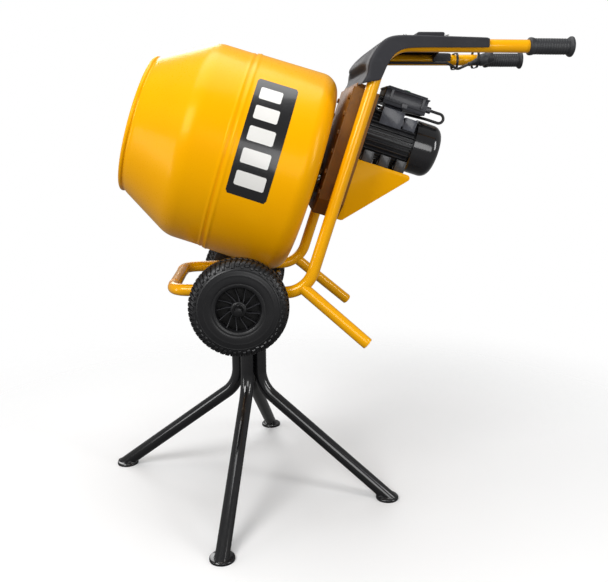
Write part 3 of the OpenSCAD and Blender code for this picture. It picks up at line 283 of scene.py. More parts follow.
def bevelled(obj, width, segments=2, angle=30.0):
    mod = obj.modifiers.new("edges", "BEVEL")
    mod.width = width * MM
    mod.segments = segments
    mod.limit_method = "ANGLE"
    mod.angle_limit = math.radians(angle)
    mod.harden_normals = True
    mod.use_clamp_overlap = True
    return obj


def subdivided(obj, levels=2):
    mod = obj.modifiers.new("smooth", "SUBSURF")
    mod.levels = levels
    mod.render_levels = levels
    return obj


def rounded(points, radii, steps=5):
    """A closed outline with its corners rounded; radii is one number or one for each corner."""
    out = []
    n = len(points)
    for i, p in enumerate(points):
        r = radii[i] if isinstance(radii, (list, tuple)) else radii
        a, p, b = (Vector((*q, 0)) for q in (points[i - 1], p, points[(i + 1) % n]))
        to_a, to_b = (a - p).normalized(), (b - p).normalized()
        angle = to_a.angle(to_b)
        if r <= 0 or angle > math.pi - 0.01:
            out.append((p.x, p.y))
            continue
        reach = min(r / math.tan(angle / 2), (a - p).length * 0.49, (b - p).length * 0.49)
        r = reach * math.tan(angle / 2)
        centre = p + (to_a + to_b).normalized() * (r / math.sin(angle / 2))
        start, end = p + to_a * reach - centre, p + to_b * reach - centre
        for k in range(steps + 1):
            v = start.slerp(end, k / steps, start) * r
            out.append((centre.x + v.x, centre.y + v.y))
    return out


def lathe(outline, segments=128, closed=True):
    """Points and faces of an outline of (radius, height) turned round Z."""
    verts, faces = [], []
    n = len(outline)
    for i in range(segments):
        c, s = math.cos(TAU * i / segments), math.sin(TAU * i / segments)
        verts += [(r * c, r * s, z) for r, z in outline]
    for i in range(segments):
        a, b = i * n, (i + 1) % segments * n
        for k in range(n if closed else n - 1):
            m = (k + 1) % n
            if outline[k][0] < 1e-6 and outline[m][0] < 1e-6:
                continue
            faces.append((a + k, b + k, b + m, a + m))
    return verts, faces


def prism(outline, low, high):
    """An outline in X and Y drawn up from one height to another."""
    n = len(outline)
    verts = [(x, y, low) for x, y in outline] + [(x, y, high) for x, y in outline]
    faces = [tuple(range(n - 1, -1, -1)), tuple(range(n, 2 * n))]
    faces += [(i, (i + 1) % n, (i + 1) % n + n, i + n) for i in range(n)]
    return verts, faces


def joined(*shapes):
    verts, faces = [], []
    for v, f in shapes:
        start = len(verts)
        verts += v
        faces += [tuple(i + start for i in face) for face in f]
    return verts, faces


def placed(shape, matrix):
    return [tuple(matrix @ Vector(v)) for v in shape[0]], shape[1]


def smooth_path(path, radii, steps=12):
    """Points along straight runs with their corners bent to the listed radii."""
    path = [Vector(p) for p in path]
    line = [path[0]]
    for i in range(1, len(path) - 1):
        a, p, b = path[i - 1], path[i], path[i + 1]
        to_a, to_b = (a - p).normalized(), (b - p).normalized()
        angle = to_a.angle(to_b)
        r = radii[i - 1]
        reach = r / math.tan(angle / 2)
        centre = p + (to_a + to_b).normalized() * (r / math.sin(angle / 2))
        start, end = p + to_a * reach - centre, p + to_b * reach - centre
        line += [centre + start.slerp(end, k / steps) * r for k in range(steps + 1)]
    line.append(path[-1])
    return line


def sweep(line, profile, level=None):
    """Rings round a line of points. profile is one radius, or one for each point."""
    ahead = [(line[min(i + 1, len(line) - 1)] - line[max(i - 1, 0)]).normalized() for i in range(len(line))]
    x = Vector((0.31, 0.22, 0.93))
    sides = 36
    verts = []
    for i, p in enumerate(line):
        x = (x - x.dot(ahead[i]) * ahead[i]).normalized()
        y = ahead[i].cross(x)
        r = profile[i] if isinstance(profile, (list, tuple)) else profile
        for k in range(sides):
            a = TAU * k / sides
            v = p + (x * math.cos(a) + y * math.sin(a)) * r
            if level is not None and i == len(line) - 1:
                v = v + ahead[i] * (level - v.z) / ahead[i].z
            verts.append(tuple(v))
    faces = []
    for i in range(len(line) - 1):
        for k in range(sides):
            m = (k + 1) % sides
            a, b = i * sides, (i + 1) * sides
            faces.append((a + k, a + m, b + m, b + k))
    last = (len(line) - 1) * sides
    faces += [tuple(range(sides)), tuple(range(last, last + sides))]
    return verts, faces


def bead_ring(centre, ahead, ring_r, thick, lumps=40):
    """A weld bead: a ring of overlapping ripples."""
    turn = Vector(ahead).to_track_quat("Z", "Y").to_matrix()
    verts, faces = [], []
    n, m = lumps * 3, 8
    for i in range(n):
        a = TAU * i / n
        swell = thick * (1 + 0.16 * math.sin(a * lumps) + 0.08 * math.sin(a * 7 + 1))
        for k in range(m):
            b = TAU * k / m
            p = Vector((
                (ring_r + swell * math.cos(b)) * math.cos(a),
                (ring_r + swell * math.cos(b)) * math.sin(a),
                swell * math.sin(b),
            ))
            verts.append(tuple(Vector(centre) + turn @ p))
    for i in range(n):
        for k in range(m):
            a, b = i * m, (i + 1) % n * m
            faces.append((a + k, b + k, b + (k + 1) % m, a + (k + 1) % m))
    return verts, faces


# ------------------------------------------------------------------ carried-over CAD nodes

SLOT_OF = {p["node"]: p["material_slot"] for p in frame["record"]["subparts"]}
SOFT_EDGE = {
    "gear_case": 1.2, "case_front": 1.2, "motor_bracket": 1.4, "switch_box": 1.6, "box_lid": 1.0,
    "terminal_cover": 2.0, "motor_feet": 2.0, "motor_housing": 0.6, "swivel_yoke": 1.2, "feet": 0.8,
    "paddles": 0.6, "split_pins": 0.2, "hood_screws": 0.5, "case_bolts": 0.5,
}
for name, node in NODES.items():
    node.data.materials.clear()
    node.data.materials.append(MAT[SLOT_OF[name]])
    for poly in node.data.polygons:
        poly.use_smooth = True
    weld = node.modifiers.new("weld", "WELD")
    weld.merge_threshold = 0.00001
    bevelled(node, SOFT_EDGE.get(name, 0.4), 2, 32)
NODES["terminal_cover"].data.materials[0] = MAT["terminal_grey"]
for name in ("axle", "axle_washers", "split_pins"):
    NODES[name].data.materials[0] = MAT["dark_steel"]
for name in ("switch_box", "box_lid", "cable_gland"):
    NODES[name].data.materials[0] = MAT["box_plastic"]
# the case bolts take the case's darkened paint, which is painted shade
NODES["case_bolts"].data.materials[0] = MAT["case_paint"]

# ------------------------------------------------------------------ drum

DRUM_R, DRUM_L, DRUM_BACK = 281.0, 520.0, 14.0
CORNER_R, SEAM, WALL = 48.0, 260.0, 2.2
SEAM_R, KNEE, KNEE_R, MOUTH_R = 276.0, 364.0, 272.0, 181.0


def bump_at(z, place, height, width):
    return height * math.exp(-(((z - place) / width) ** 2))


def bowl_radius(z):
    """Outside radius of the drum's wall from the round corner to the free edge."""
    start = DRUM_BACK + 12 + CORNER_R
    return DRUM_R + (SEAM_R - DRUM_R) * (z - start) / (SEAM - start)


def bowl_profile(inset):
    corner = (DRUM_R - CORNER_R, DRUM_BACK + 12 + CORNER_R)
    out = []
    for k in range(25):
        a = math.radians(-84 + 84 * k / 24)
        r = CORNER_R - inset
        out.append((corner[0] + r * math.cos(a), corner[1] + r * math.sin(a)))
    steps = 60
    for k in range(1, steps + 1):
        z = corner[1] + (SEAM - corner[1]) * k / steps
        out.append((bowl_radius(z) - inset + bump_at(z, 251, 1.9, 3.6), z))
    return out


def cone_profile(inset):
    slope = math.atan2(KNEE_R - MOUTH_R, DRUM_L - KNEE)
    soft = 85.0
    centre = (KNEE_R - soft - 0.5, KNEE - soft * math.tan(slope / 2))
    start = (SEAM_R - WALL - 0.3, SEAM - 28)
    out = []
    steps = 50
    end = (centre[0] + soft, centre[1])
    for k in range(steps):
        z = start[1] + (end[1] - start[1]) * k / steps
        r = start[0] + (end[0] - start[0]) * k / steps
        out.append((r - inset + bump_at(z, 268, 1.4, 3.6), z))
    for k in range(11):
        a = slope * k / 10
        out.append((centre[0] + (soft - inset) * math.cos(a), centre[1] + (soft - inset) * math.sin(a)))
    last = out[-1]
    steps = 40
    for k in range(1, steps + 1):
        z = last[1] + (DRUM_L - 3 - last[1]) * k / steps
        r = last[0] + (MOUTH_R - inset - last[0]) * k / steps
        out.append((r - bump_at(z, DRUM_L - 16, 1.8, 2.6), z))
    return out


def drum_sheet(name, outer, inner, node):
    """A shell turned from an outside and an inside line, with the inside in the worn finish."""
    shape = lathe(outer + inner[::-1], 256)
    obj = piece(name, *shape, DRIVE, "yellow_paint", "drum", [node], sharp=50, slot="yellow_paint")
    obj.data.materials.append(MAT["drum_inside"])
    axis_base = DRIVE.inverted()
    for poly in obj.data.polygons:
        c, n = axis_base @ poly.center, axis_base.to_3x3() @ poly.normal
        inward = c.x * n.x + c.y * n.y < -0.02 * math.hypot(c.x, c.y) * n.length
        floor_of_drum = n.z > 0 and c.z < DRUM_BACK + 6
        if inward or floor_of_drum:
            poly.material_index = 1
    return obj


outer = [(18.5, DRUM_BACK)] + [(r, DRUM_BACK + 12 - 12 * (1 - r / 228) * 0.9) for r in range(40, 228, 20)]
inner = [(18.5, DRUM_BACK + WALL)] + [(r, z + WALL) for r, z in outer[1:]]
drum_sheet("drum_bowl_sheet", outer[:1] + bowl_profile(0), inner[:1] + bowl_profile(WALL), "drum_bowl")
drum_sheet("drum_cone_sheet", cone_profile(0), cone_profile(WALL), "drum_cone")
# rolled edge round the mouth
roll = [(MOUTH_R + 1 + 6.4 * math.cos(a), DRUM_L - 6.5 + 6.4 * math.sin(a)) for a in
        (TAU * k / 28 for k in range(28))]
piece("mouth_roll", *lathe(roll, 256), DRIVE, "yellow_paint", "drum", ["mouth_ring"], slot="yellow_paint")


def on_drum(angle, z, lift):
    """A point on the drum's near side: angle above the horizontal in degrees."""
    a = math.radians(angle)
    r = bowl_radius(z) + lift
    return (r * math.sin(a), -r * math.cos(a), z)


def decal(name, outline, lift, thick, mat, steps=40):
    """A thin film on the drum. outline gives, for a place up the film, where its two edges lie."""
    verts, faces = [], []
    across_steps = 16
    n = across_steps + 1
    for layer in (0, 1):
        for i in range(steps + 1):
            angle, low, high = outline(i / steps)
            for k in range(n):
                z = low + (high - low) * k / across_steps
                verts.append(on_drum(angle, z, lift + layer * thick))
    size = (steps + 1) * n
    for i in range(steps):
        for k in range(across_steps):
            q = (i * n + k, i * n + k + 1, (i + 1) * n + k + 1, (i + 1) * n + k)
            faces += [q, tuple(v + size for v in q)]
    rim = [k for k in range(n)] + [i * n + n - 1 for i in range(1, steps + 1)]
    rim += [steps * n + k for k in range(n - 2, -1, -1)] + [i * n for i in range(steps - 1, 0, -1)]
    for i, a in enumerate(rim):
        b = rim[(i + 1) % len(rim)]
        faces.append((a, b, b + size, a + size))
    return piece(name, verts, faces, DRIVE, mat, "drum", slot="yellow_paint", sharp=60)


def panel(angle_low, angle_high, z_low, z_high, corner=0.0, slant=0.0):
    def outline(t):
        angle = angle_low + (angle_high - angle_low) * t
        edge = min(t, 1 - t) * (angle_high - angle_low) * math.radians(1) * DRUM_R
        pull = corner - math.sqrt(max(0.0, corner**2 - (corner - edge) ** 2)) if edge < corner else 0.0
        shift = slant * (t - 0.5)
        return angle, z_low + pull + shift, z_high - pull + shift
    return outline


DECAL_LOW, DECAL_HIGH = -17.4, 47.7
decal("drum_panel", panel(DECAL_LOW, DECAL_HIGH, 132, 236, 5), 0.15, 0.35, "decal_dark")
for i in range(5):
    low = DECAL_LOW + 5.5 + i * 11.6
    decal(f"drum_panel_bar_{i}", panel(low, low + 7.6, 146 + 5 * i, 222, 3), 0.52, 0.2, "decal_pale", 12)

# ------------------------------------------------------------------ frame tubes


def side_line(side):
    return smooth_path(
        [
            (HANDLE_END - 3, side * GRIP_Y, HANDLE_Z), (BEND_X, side * BEND_Y, HANDLE_Z),
            (HEEL_X, side * HEEL_Y, HEEL_Z), (NOSE_X, side * NOSE_Y, HEEL_Z),
            (NOSE_X, side * (NOSE_Y - NOSE_RUN), HEEL_Z),
        ],
        [TUBE_BEND, TUBE_BEND, NOSE_BEND],
        16,
    )


for side, word in ((-1, "near"), (1, "far")):
    piece(f"side_tube_{word}_skin", *sweep(side_line(side), TUBE_R), STAND, "tube_paint", "frame",
          [f"side_tube_{word}"], slot="yellow_paint")

PROP_REACH, PROP_SPREAD, PROP_DROP = 160, 34, 132
lean = math.pi / 4 + TILT / 2
into = TUBE_BEND * (1 / math.cos(math.pi / 4 - TILT / 2) - 1)
for side, word in ((-1, "near"), (1, "far")):
    root = Vector((HEEL_X - into * math.cos(lean), side * HEEL_Y, HEEL_Z + into * math.sin(lean)))
    tip = Vector((HEEL_X + PROP_REACH, side * (HEEL_Y + PROP_SPREAD), HEEL_Z - PROP_DROP))
    ahead = (tip - root).normalized()
    length = (tip - root).length
    steps = [0.0, 0.3, 0.6, 0.9] + [1 - 3 / length, 1 - 1.2 / length, 1 - 0.3 / length, 1.0]
    sizes = [TUBE_R] * 5 + [TUBE_R - 0.4, TUBE_R - 1.4, TUBE_R - 3.5]
    piece(f"prop_{word}", *sweep([root + ahead * length * t for t in steps], sizes), STAND, "tube_paint",
          "frame", ["rear_props"] if side < 0 else [], slot="yellow_paint")
bar_end = NOSE_Y - NOSE_RUN
bar_line = [Vector((NOSE_X, y, HEEL_Z)) for y in (bar_end, 60, 0, -60, -bar_end)]
piece("nose_bar", *sweep(bar_line, TUBE_R), STAND, "tube_paint", "frame", ["front_bar"],
      slot="yellow_paint")
for side, word in ((1, "far"), (-1, "near")):
    bead = bead_ring((NOSE_X, side * bar_end, HEEL_Z), (0, 1, 0), TUBE_R - 0.1, 1.3)
    piece(f"nose_weld_{word}", *bead, STAND, "weld", "frame", slot="yellow_paint")

# ------------------------------------------------------------------ stand

LEG_TURN, LEG_SPREAD, FOOT_REACH, FOOT_T = -18.4, 99.7, 425.0, 8.0
LEG_R, LEG_BUNDLE_R, LEG_SLOPE, LEG_TOP, LEG_BEND = 19.0, 34.0, math.radians(38), 470.0, 100.0
LEG_VERTEX = FOOT_T + (FOOT_REACH - LEG_BUNDLE_R) * math.tan(LEG_SLOPE)
for i, word in enumerate(("right", "far", "left", "near")):
    angle = LEG_TURN + (LEG_SPREAD if i % 2 else 0) + (180 if i > 1 else 0)
    spin = Matrix.Rotation(math.radians(angle), 4, "Z")
    line = smooth_path(
        [(LEG_BUNDLE_R, 0, LEG_TOP), (LEG_BUNDLE_R, 0, LEG_VERTEX), (FOOT_REACH, 0, FOOT_T)],
        [LEG_BEND], 18)
    shape = placed(sweep(line, LEG_R, level=FOOT_T), spin)
    piece(f"leg_{word}_skin", *shape, STAND, "black_paint", "stand", [f"leg_{word}"], slot="black_paint")
    # weld where the leg meets its foot plate: an oval, because the leg leans
    ring = []
    n = 72
    squash = 1 / math.sin(LEG_SLOPE)
    for k in range(n):
        a = TAU * k / n
        swell = 2.0 * (1 + 0.18 * math.sin(a * 26))
        for m in range(8):
            b = TAU * m / 8
            grow = swell * math.cos(b)
            high = FOOT_T + max(-0.5, swell * math.sin(b))
            reach = FOOT_REACH + (LEG_R * squash + grow) * math.cos(a)
            ring.append((reach, (LEG_R + grow) * math.sin(a), high))
    faces = [
        (k * 8 + m, (k + 1) % n * 8 + m, (k + 1) % n * 8 + (m + 1) % 8, k * 8 + (m + 1) % 8)
        for k in range(n) for m in range(8)
    ]
    piece(f"foot_weld_{word}", *placed((ring, faces), spin), STAND, "black_paint", "stand",
          slot="black_paint")

# ------------------------------------------------------------------ wheels

TYRE_R, TYRE_W, RIM_R, TRACK = 130.0, 74.0, 68.0, 521.0
INNER = RIM_R - 2


def tyre_point(a, lift):
    """Radius and height on the tyre's section: a runs from -90 at one side to 90 at the other."""
    c, s = math.cos(math.radians(a)), math.sin(math.radians(a))
    depth = TYRE_R - INNER + lift
    r = INNER + depth * (0.12 + 0.88 * abs(c) ** 0.62)
    return r, (TYRE_W / 2 + lift * 0.6) * math.copysign(abs(s) ** 0.72, s)


def tyre_shape():
    outline = []
    for k in range(97):
        a = -90 + 180 * k / 96
        r, z = tyre_point(a, -4.2)
        # two fine mould lines on each side wall
        if 50 < abs(a) < 86:
            z += math.copysign(bump_at(r, 104, 0.9, 0.9) + bump_at(r, 90, 0.7, 0.8), z)
        outline.append((r, z))
    bead = [(RIM_R + 2.5, 34), (RIM_R - 1, 32), (INNER - 1, 26)]
    outline = outline + bead + [(r, -z) for r, z in reversed(bead)]
    return lathe(outline, 192)


def lug(low, high, start, end, skew):
    """One block of tread between two places across the tyre and two angles round it."""
    verts, faces = [], []
    rows, cols = 5, 4
    for layer, lift, grow in ((0, -5.5, 0.0), (1, -1.0, 0.0), (2, -0.15, -0.07)):
        for i in range(rows + 1):
            t = i / rows
            t = 0.5 + (t - 0.5) * (1 + 2 * grow)
            a = low + (high - low) * t
            r, z = tyre_point(a, lift)
            for k in range(cols + 1):
                u = 0.5 + (k / cols - 0.5) * (1 + 2 * grow)
                turn = start + (end - start) * u + skew * (t - 0.5)
                verts.append((r * math.cos(turn), r * math.sin(turn), z))
    n = cols + 1
    size = (rows + 1) * n
    for i in range(rows):
        for k in range(cols):
            q = (i * n + k, i * n + k + 1, (i + 1) * n + k + 1, (i + 1) * n + k)
            faces.append(tuple(v + 2 * size for v in q))
    rim = [k for k in range(n)] + [i * n + n - 1 for i in range(1, rows + 1)]
    rim += [rows * n + k for k in range(n - 2, -1, -1)] + [i * n for i in range(rows - 1, 0, -1)]
    for layer in (0, 1):
        for i, a in enumerate(rim):
            b = rim[(i + 1) % len(rim)]
            low = layer * size
            faces.append((a + low, b + low, b + low + size, a + low + size))
    return verts, faces


def tread_shape():
    shapes = []
    count = 58
    pitch = TAU / count
    for i in range(count):
        a = i * pitch
        long = 60 if i % 2 else 54
        shapes.append(lug(16, long, a, a + pitch * 0.62, pitch * 0.5))
        shapes.append(lug(-long, -16, a + pitch / 2, a + pitch * 1.12, pitch * 0.5))
        shapes.append(lug(-12, 12, a, a + pitch * 0.66, -pitch * 0.6))
    return joined(*shapes)


def rim_shape():
    """The wheel's moulded rim, seen from its outside, which is +Z."""
    ring = rounded(
        [(56, 6), (56, 24), (59, 31), (64, 33), (69, 33), (70.5, 30), (66.5, 27),
         (66.5, -27), (70.5, -30), (69, -33), (64, -33), (59, -31), (56, -24), (56, -6)], 1.4, 3)
    web = rounded([(20, -2.5), (57, -2.5), (57, 2.5), (20, 2.5)], 0.5, 2)
    hub = rounded(
        [(10.3, -31), (15, -31), (16, -29), (16, -26), (21, -22), (21, 22), (19.5, 25),
         (16.5, 26), (16, 29.5), (13.5, 30.5), (13, 28), (10.3, 28)], 0.8, 3)
    return joined(lathe(ring, 160), lathe(hub, 96)), lathe(web, 96)


def spoke_shape():
    shapes = []
    for side in (1, -1):
        for i in range(13):
            verts, faces = [], []
            steps = 12
            for k in range(steps + 1):
                t = k / steps
                r = 19.5 + 38 * t
                bend = math.radians(15) * math.sin(t * math.pi / 2) + TAU * i / 13
                high = 21 - 3 * math.sin(t * math.pi) + 4 * t
                half = 1.25 - 0.25 * t
                for w, z in ((-half * 1.3, 1), (-half, high - 0.7), (-half * 0.5, high), (half * 0.5, high),
                             (half, high - 0.7), (half * 1.3, 1)):
                    a = bend + w / r
                    verts.append((r * math.cos(a), r * math.sin(a), side * z))
            for k in range(steps):
                for m in range(6):
                    p, q = k * 6, (k + 1) * 6
                    faces.append((p + m, p + (m + 1) % 6, q + (m + 1) % 6, q + m))
            faces += [tuple(range(6)), tuple(range(steps * 6, steps * 6 + 6))]
            shapes.append((verts, faces))
    return joined(*shapes)


tyre, tread, spokes = tyre_shape(), tread_shape(), spoke_shape()
rim, web = rim_shape()
for side, word in ((-1, "near"), (1, "far")):
    base = aimed(STAND, AXLE + Vector((0, side * TRACK / 2, 0)), (0, side, 0))
    body = f"wheel_{word}"
    piece(f"tyre_{word}_wall", *tyre, base, "tyre_rubber", body, [f"tyre_{word}"], sharp=40,
          slot="tyre_rubber")
    piece(f"tyre_{word}_tread", *tread, base, "tyre_rubber", body, sharp=28, slot="tyre_rubber")
    piece(f"rim_{word}_ring", *rim, base, "wheel_plastic", body, [f"wheel_rim_{word}"], sharp=30,
          slot="wheel_plastic")
    # the web between hub and rim is matte near-black: painted shade in the wheel's recess
    piece(f"rim_{word}_web", *web, base, "cavity", body, slot="wheel_plastic")
    piece(f"rim_{word}_spokes", *spokes, base, "spoke_plastic", body, sharp=30, slot="wheel_plastic")

# ------------------------------------------------------------------ hood

# stations along the hood: its outer line over the bend and the lower edge of its side
HOOD_FRONT = [
    (295.5, 1172), (300, 1180.5), (306.5, 1190), (309.8, 1200), (310.5, 1211), (311.5, 1221),
    (317.5, 1236), (327, 1251), (338, 1265), (351, 1277.5), (370, 1286.5), (400, 1288),
    (450, 1287), (500, 1286), (548, 1285), (559, 1284.7), (575, 1284.4), (600, 1283.8),
    (613, 1283.4),
]
HOOD_REAR = [
    (342, 1180.5), (345, 1186), (348.5, 1193), (352.5, 1203), (357, 1213), (362, 1223),
    (368, 1232), (375, 1240.5), (383, 1246.5), (391, 1251), (402, 1255), (421, 1257),
    (456, 1258), (500, 1258), (548, 1258.4), (559, 1258.5), (575, 1258.7), (600, 1259),
    (613, 1259.2),
]
# how far the middle of the front bulges at each station, with a recess under its lip
HOOD_BULGE = [3, 2, 0, -5, -9, 12, 12, 8, 4, 1]
DECK_LAST = 15


def tube_y(x, z):
    if x > BEND_X or z > HANDLE_Z - 20:
        return BEND_Y - (BEND_Y - GRIP_Y) * max(0.0, x - BEND_X) / (HANDLE_END - BEND_X)
    return BEND_Y + (HEEL_Y - BEND_Y) * (HANDLE_Z - z) / (HANDLE_Z - HEEL_Z)


def hood_crown(x, y, half):
    """How far the middle of the hood stands above its arms."""
    t = min(1.0, max(0.0, (x - 372) / 60))
    t = t * t * (3 - 2 * t)
    w = min(1.0, max(0.0, (half - abs(y)) / (half - 88)))
    return 14.0 * t * (w * w * (3 - 2 * w))


def hood_shape():
    verts, index, faces = [], {}, []

    def add(key, p):
        index[key] = len(verts)
        verts.append(p)

    last = len(HOOD_FRONT) - 1
    skirt = [(0.0, 0.0), (0.06, 0.0), (0.3, 0.0), (0.62, 0.0), (0.84, 0.6), (0.97, 3.6), (1.0, 8.5)]
    deck_n = 18
    for k in range(last + 1):
        fx, fz = HOOD_FRONT[k]
        rx, rz = HOOD_REAR[k]
        for side in (-1, 1):
            yc = tube_y((fx + rx) / 2, (fz + rz) / 2)
            out = yc + 23.5
            for j, (t, pull) in enumerate(skirt):
                add((k, side, j), (rx + (fx - rx) * t, side * (out - pull), rz + (fz - rz) * t))
            crown = 1.2 if 0 < k < last else 0.4
            lift = Vector((fx - rx, fz - rz)).normalized() * crown
            add((k, side, 7), (fx + lift.x, side * yc, fz + lift.y))
            add((k, side, 8), (fx, side * (yc - 15), fz))
            if k >= DECK_LAST:
                inner = yc - 23.5
                for j, (t, pull) in enumerate(reversed(skirt[:-1])):
                    add((k, side, 9 + j), (rx + (fx - rx) * t, side * (inner + pull), rz + (fz - rz) * t))
        if k <= DECK_LAST:
            half = abs(verts[index[(k, 1, 8)]][1])
            for m in range(1, deck_n):
                y = -half + 2 * half * m / deck_n
                near_edge = min(1.0, (half - abs(y)) / 60)
                push = (HOOD_BULGE[k] if k < len(HOOD_BULGE) else 0) * near_edge * (2 - near_edge)
                add((k, 0, m), (fx - push, y, fz + hood_crown(fx, y, half)))
    for side in (-1, 1):
        cells = [(k, j) for k in range(last) for j in range(8)]
        cells += [(k, j) for k in range(DECK_LAST, last) for j in range(8, 14)]
        for k, j in cells:
            corners = ((k, side, j), (k + 1, side, j), (k + 1, side, j + 1), (k, side, j + 1))
            faces.append([index[q] for q in corners])

    def deck(k, m):
        if m == 0:
            return index[(k, -1, 8)]
        if m == deck_n:
            return index[(k, 1, 8)]
        return index[(k, 0, m)]

    for k in range(DECK_LAST):
        for m in range(deck_n):
            faces.append([deck(k, m), deck(k + 1, m), deck(k + 1, m + 1), deck(k, m + 1)])
    # the deck's rear edge turns down between the arms
    drops = [(1.6, 3.0), (2.2, 9.0), (2.2, 20.0)]
    for d, (dx, dz) in enumerate(drops):
        for m in range(1, deck_n):
            x, y, z = verts[deck(DECK_LAST, m)]
            add(("lip", d, m), (x + dx, y, z - dz))

    def lip(d, m):
        if m == 0:
            return index[(DECK_LAST, -1, 9 + d * 2 if d >= 0 else 8)]
        if m == deck_n:
            return index[(DECK_LAST, 1, 9 + d * 2 if d >= 0 else 8)]
        return deck(DECK_LAST, m) if d < 0 else index[("lip", d, m)]

    for d in range(-1, len(drops) - 1):
        for m in range(deck_n):
            faces.append([lip(d, m), lip(d + 1, m), lip(d + 1, m + 1), lip(d, m + 1)])
    # ends of the arms
    for side in (-1, 1):
        ring = [index[(last, side, j)] for j in range(15)]
        faces += [[ring[5], ring[6], ring[8], ring[9]], [ring[6], ring[7], ring[8]]]
    return verts, faces


hood_verts, hood_faces = hood_shape()
hood = piece("hood_shell", hood_verts, hood_faces, STAND, "black_plastic", "frame", ["hood"], sharp=180,
             slot="black_plastic")
thick = hood.modifiers.new("wall", "SOLIDIFY")
thick.thickness = 3.0 * MM
thick.offset = -1.0
thick.use_even_offset = False
thick.use_rim = True
subdivided(hood, 2)


def soft_block(name, low, high, base, mat, body, soft, **kw):
    """A block with rounded edges: its upper outline is drawn in a little."""
    (x0, y0, z0), (x1, y1, z1) = low, high
    outline = rounded([(x0, y0), (x1, y0), (x1, y1), (x0, y1)], soft * 1.6, 5)
    obj = piece(name, *prism(outline, z0, z1), base, mat, body, sharp=40, **kw)
    return bevelled(obj, soft, 4, 50)


soft_block("hood_pad", (BEND_X + 94, -124, HANDLE_Z + 20), (BEND_X + 166, 124, HANDLE_Z + 41.6), STAND,
           "black_plastic", "frame", 4.5, slot="black_plastic")

# the switch box's lid, its clip and the seams on its sides
BOX_UP, BOX_TOP, BOX_START, BOX_END, BOX_HALF = 254.0, 294.0, -97.0, -219.0, 54.0
soft_block("lid_plate", (BOX_TOP, -BOX_HALF - 2, BOX_END - 2),
           (BOX_TOP + 4.2, BOX_HALF + 2, BOX_START + 2), DRIVE,
           "box_plastic", "frame", 1.4, replaces=["box_lid"], slot="black_plastic")
soft_block("lid_raised", (BOX_TOP + 3, -BOX_HALF + 3, BOX_END + 5),
           (BOX_TOP + 8.6, BOX_HALF - 3, BOX_START - 5), DRIVE,
           "box_plastic", "frame", 1.8, slot="black_plastic")
for side, word in ((-1, "near"), (1, "far")):
    face = side * BOX_HALF
    for i, along in enumerate((BOX_START - 18, BOX_END + 14)):
        soft_block(f"lid_hook_{word}_{i}", (BOX_TOP - 26, face - 2.6, along - 3.5),
                   (BOX_TOP + 1, face + 2.6, along + 3.5),
                   DRIVE, "box_plastic", "frame", 0.7, slot="black_plastic")
    soft_block(f"box_seam_{word}", (BOX_UP + 8, face - 0.35, BOX_END + 4),
               (BOX_UP + 9.6, face + 0.35, BOX_START - 4), DRIVE,
               "cavity", "frame", 0.1, slot="black_plastic")
    middle = (BOX_START + BOX_END) / 2
    soft_block(f"box_clip_{word}", (BOX_UP + 1.5, face - 2, middle - 8),
               (BOX_UP + 15, face + 2, middle + 8), DRIVE,
               "box_plastic", "frame", 0.8, slot="black_plastic")
# a cap on the gear case, in the case's darkened paint, which is painted shade
soft_block("case_cap", (261, -150, -60), (274, 150, -7), DRIVE, "case_paint", "frame", 1.5,
           slot="case_paint")

# ------------------------------------------------------------------ grips

GRIP_L = 114.0
for side, word in ((-1, "near"), (1, "far")):
    end = Vector((HANDLE_END - 3, side * GRIP_Y, HANDLE_Z))
    ahead = (end - Vector((BEND_X, side * BEND_Y, HANDLE_Z))).normalized()
    base = aimed(STAND, end + ahead * 2.9, -ahead)
    outline = [(0, 0.2), (17, 0), (22.5, 0.3), (24.6, 1.6), (25, 3.4), (24.8, 6), (23.6, 8.2), (21.6, 9.8)]
    z = 12.0
    while z < GRIP_L - 16:
        ripple = 0.55 * math.sin((z - 12) / 3.4 * math.pi)
        swell = 1.1 * math.cos((z - GRIP_L / 2) / GRIP_L * 2.6)
        outline.append((19.0 + swell * 0.4 + ripple * 0.7, z))
        z += 0.85
    outline += [(20.4, GRIP_L - 13), (21.4, GRIP_L - 9), (21.8, GRIP_L - 5.5), (21.5, GRIP_L - 2.4),
                (20.4, GRIP_L - 0.6), (18.6, GRIP_L), (16.3, GRIP_L), (16.2, GRIP_L - 6)]
    piece(f"grip_{word}", *lathe(outline, 96, closed=False), base, "grip_rubber", "frame",
          ["grips"] if side < 0 else [], sharp=60, slot="grip_rubber")

# ------------------------------------------------------------------ motor

COWL_R, COWL_L, COWL_END = 73.0, 77.0, -290.0
cowl = rounded(
    [(3, 0), (COWL_R - 0.4, 0), (COWL_R, COWL_L - 0.5), (COWL_R - 2.2, COWL_L - 0.5),
     (COWL_R - 2.6, 3), (3, 3)],
    [0, 27, 0.8, 0.4, 24, 0], 14)
cowl_base = MOTOR @ Matrix.Translation((0, 0, COWL_END))
piece("cowl_shell", *lathe(cowl, 160), cowl_base, "motor_cowl", "frame", ["fan_cowl"], sharp=35,
                 slot="motor_cowl")

# ------------------------------------------------------------------ cables


# the drive frame's origin from the side tubes' heel, along the drive frame's own axes
DRIVE_UP, DRIVE_AHEAD = 278, 40


def from_drive(p):
    up, ahead = p[0] + DRIVE_UP, p[2] + DRIVE_AHEAD
    return (
        HEEL_X + up * math.sin(TILT) - ahead * math.cos(TILT), p[1],
        HEEL_Z + up * math.cos(TILT) + ahead * math.sin(TILT),
    )


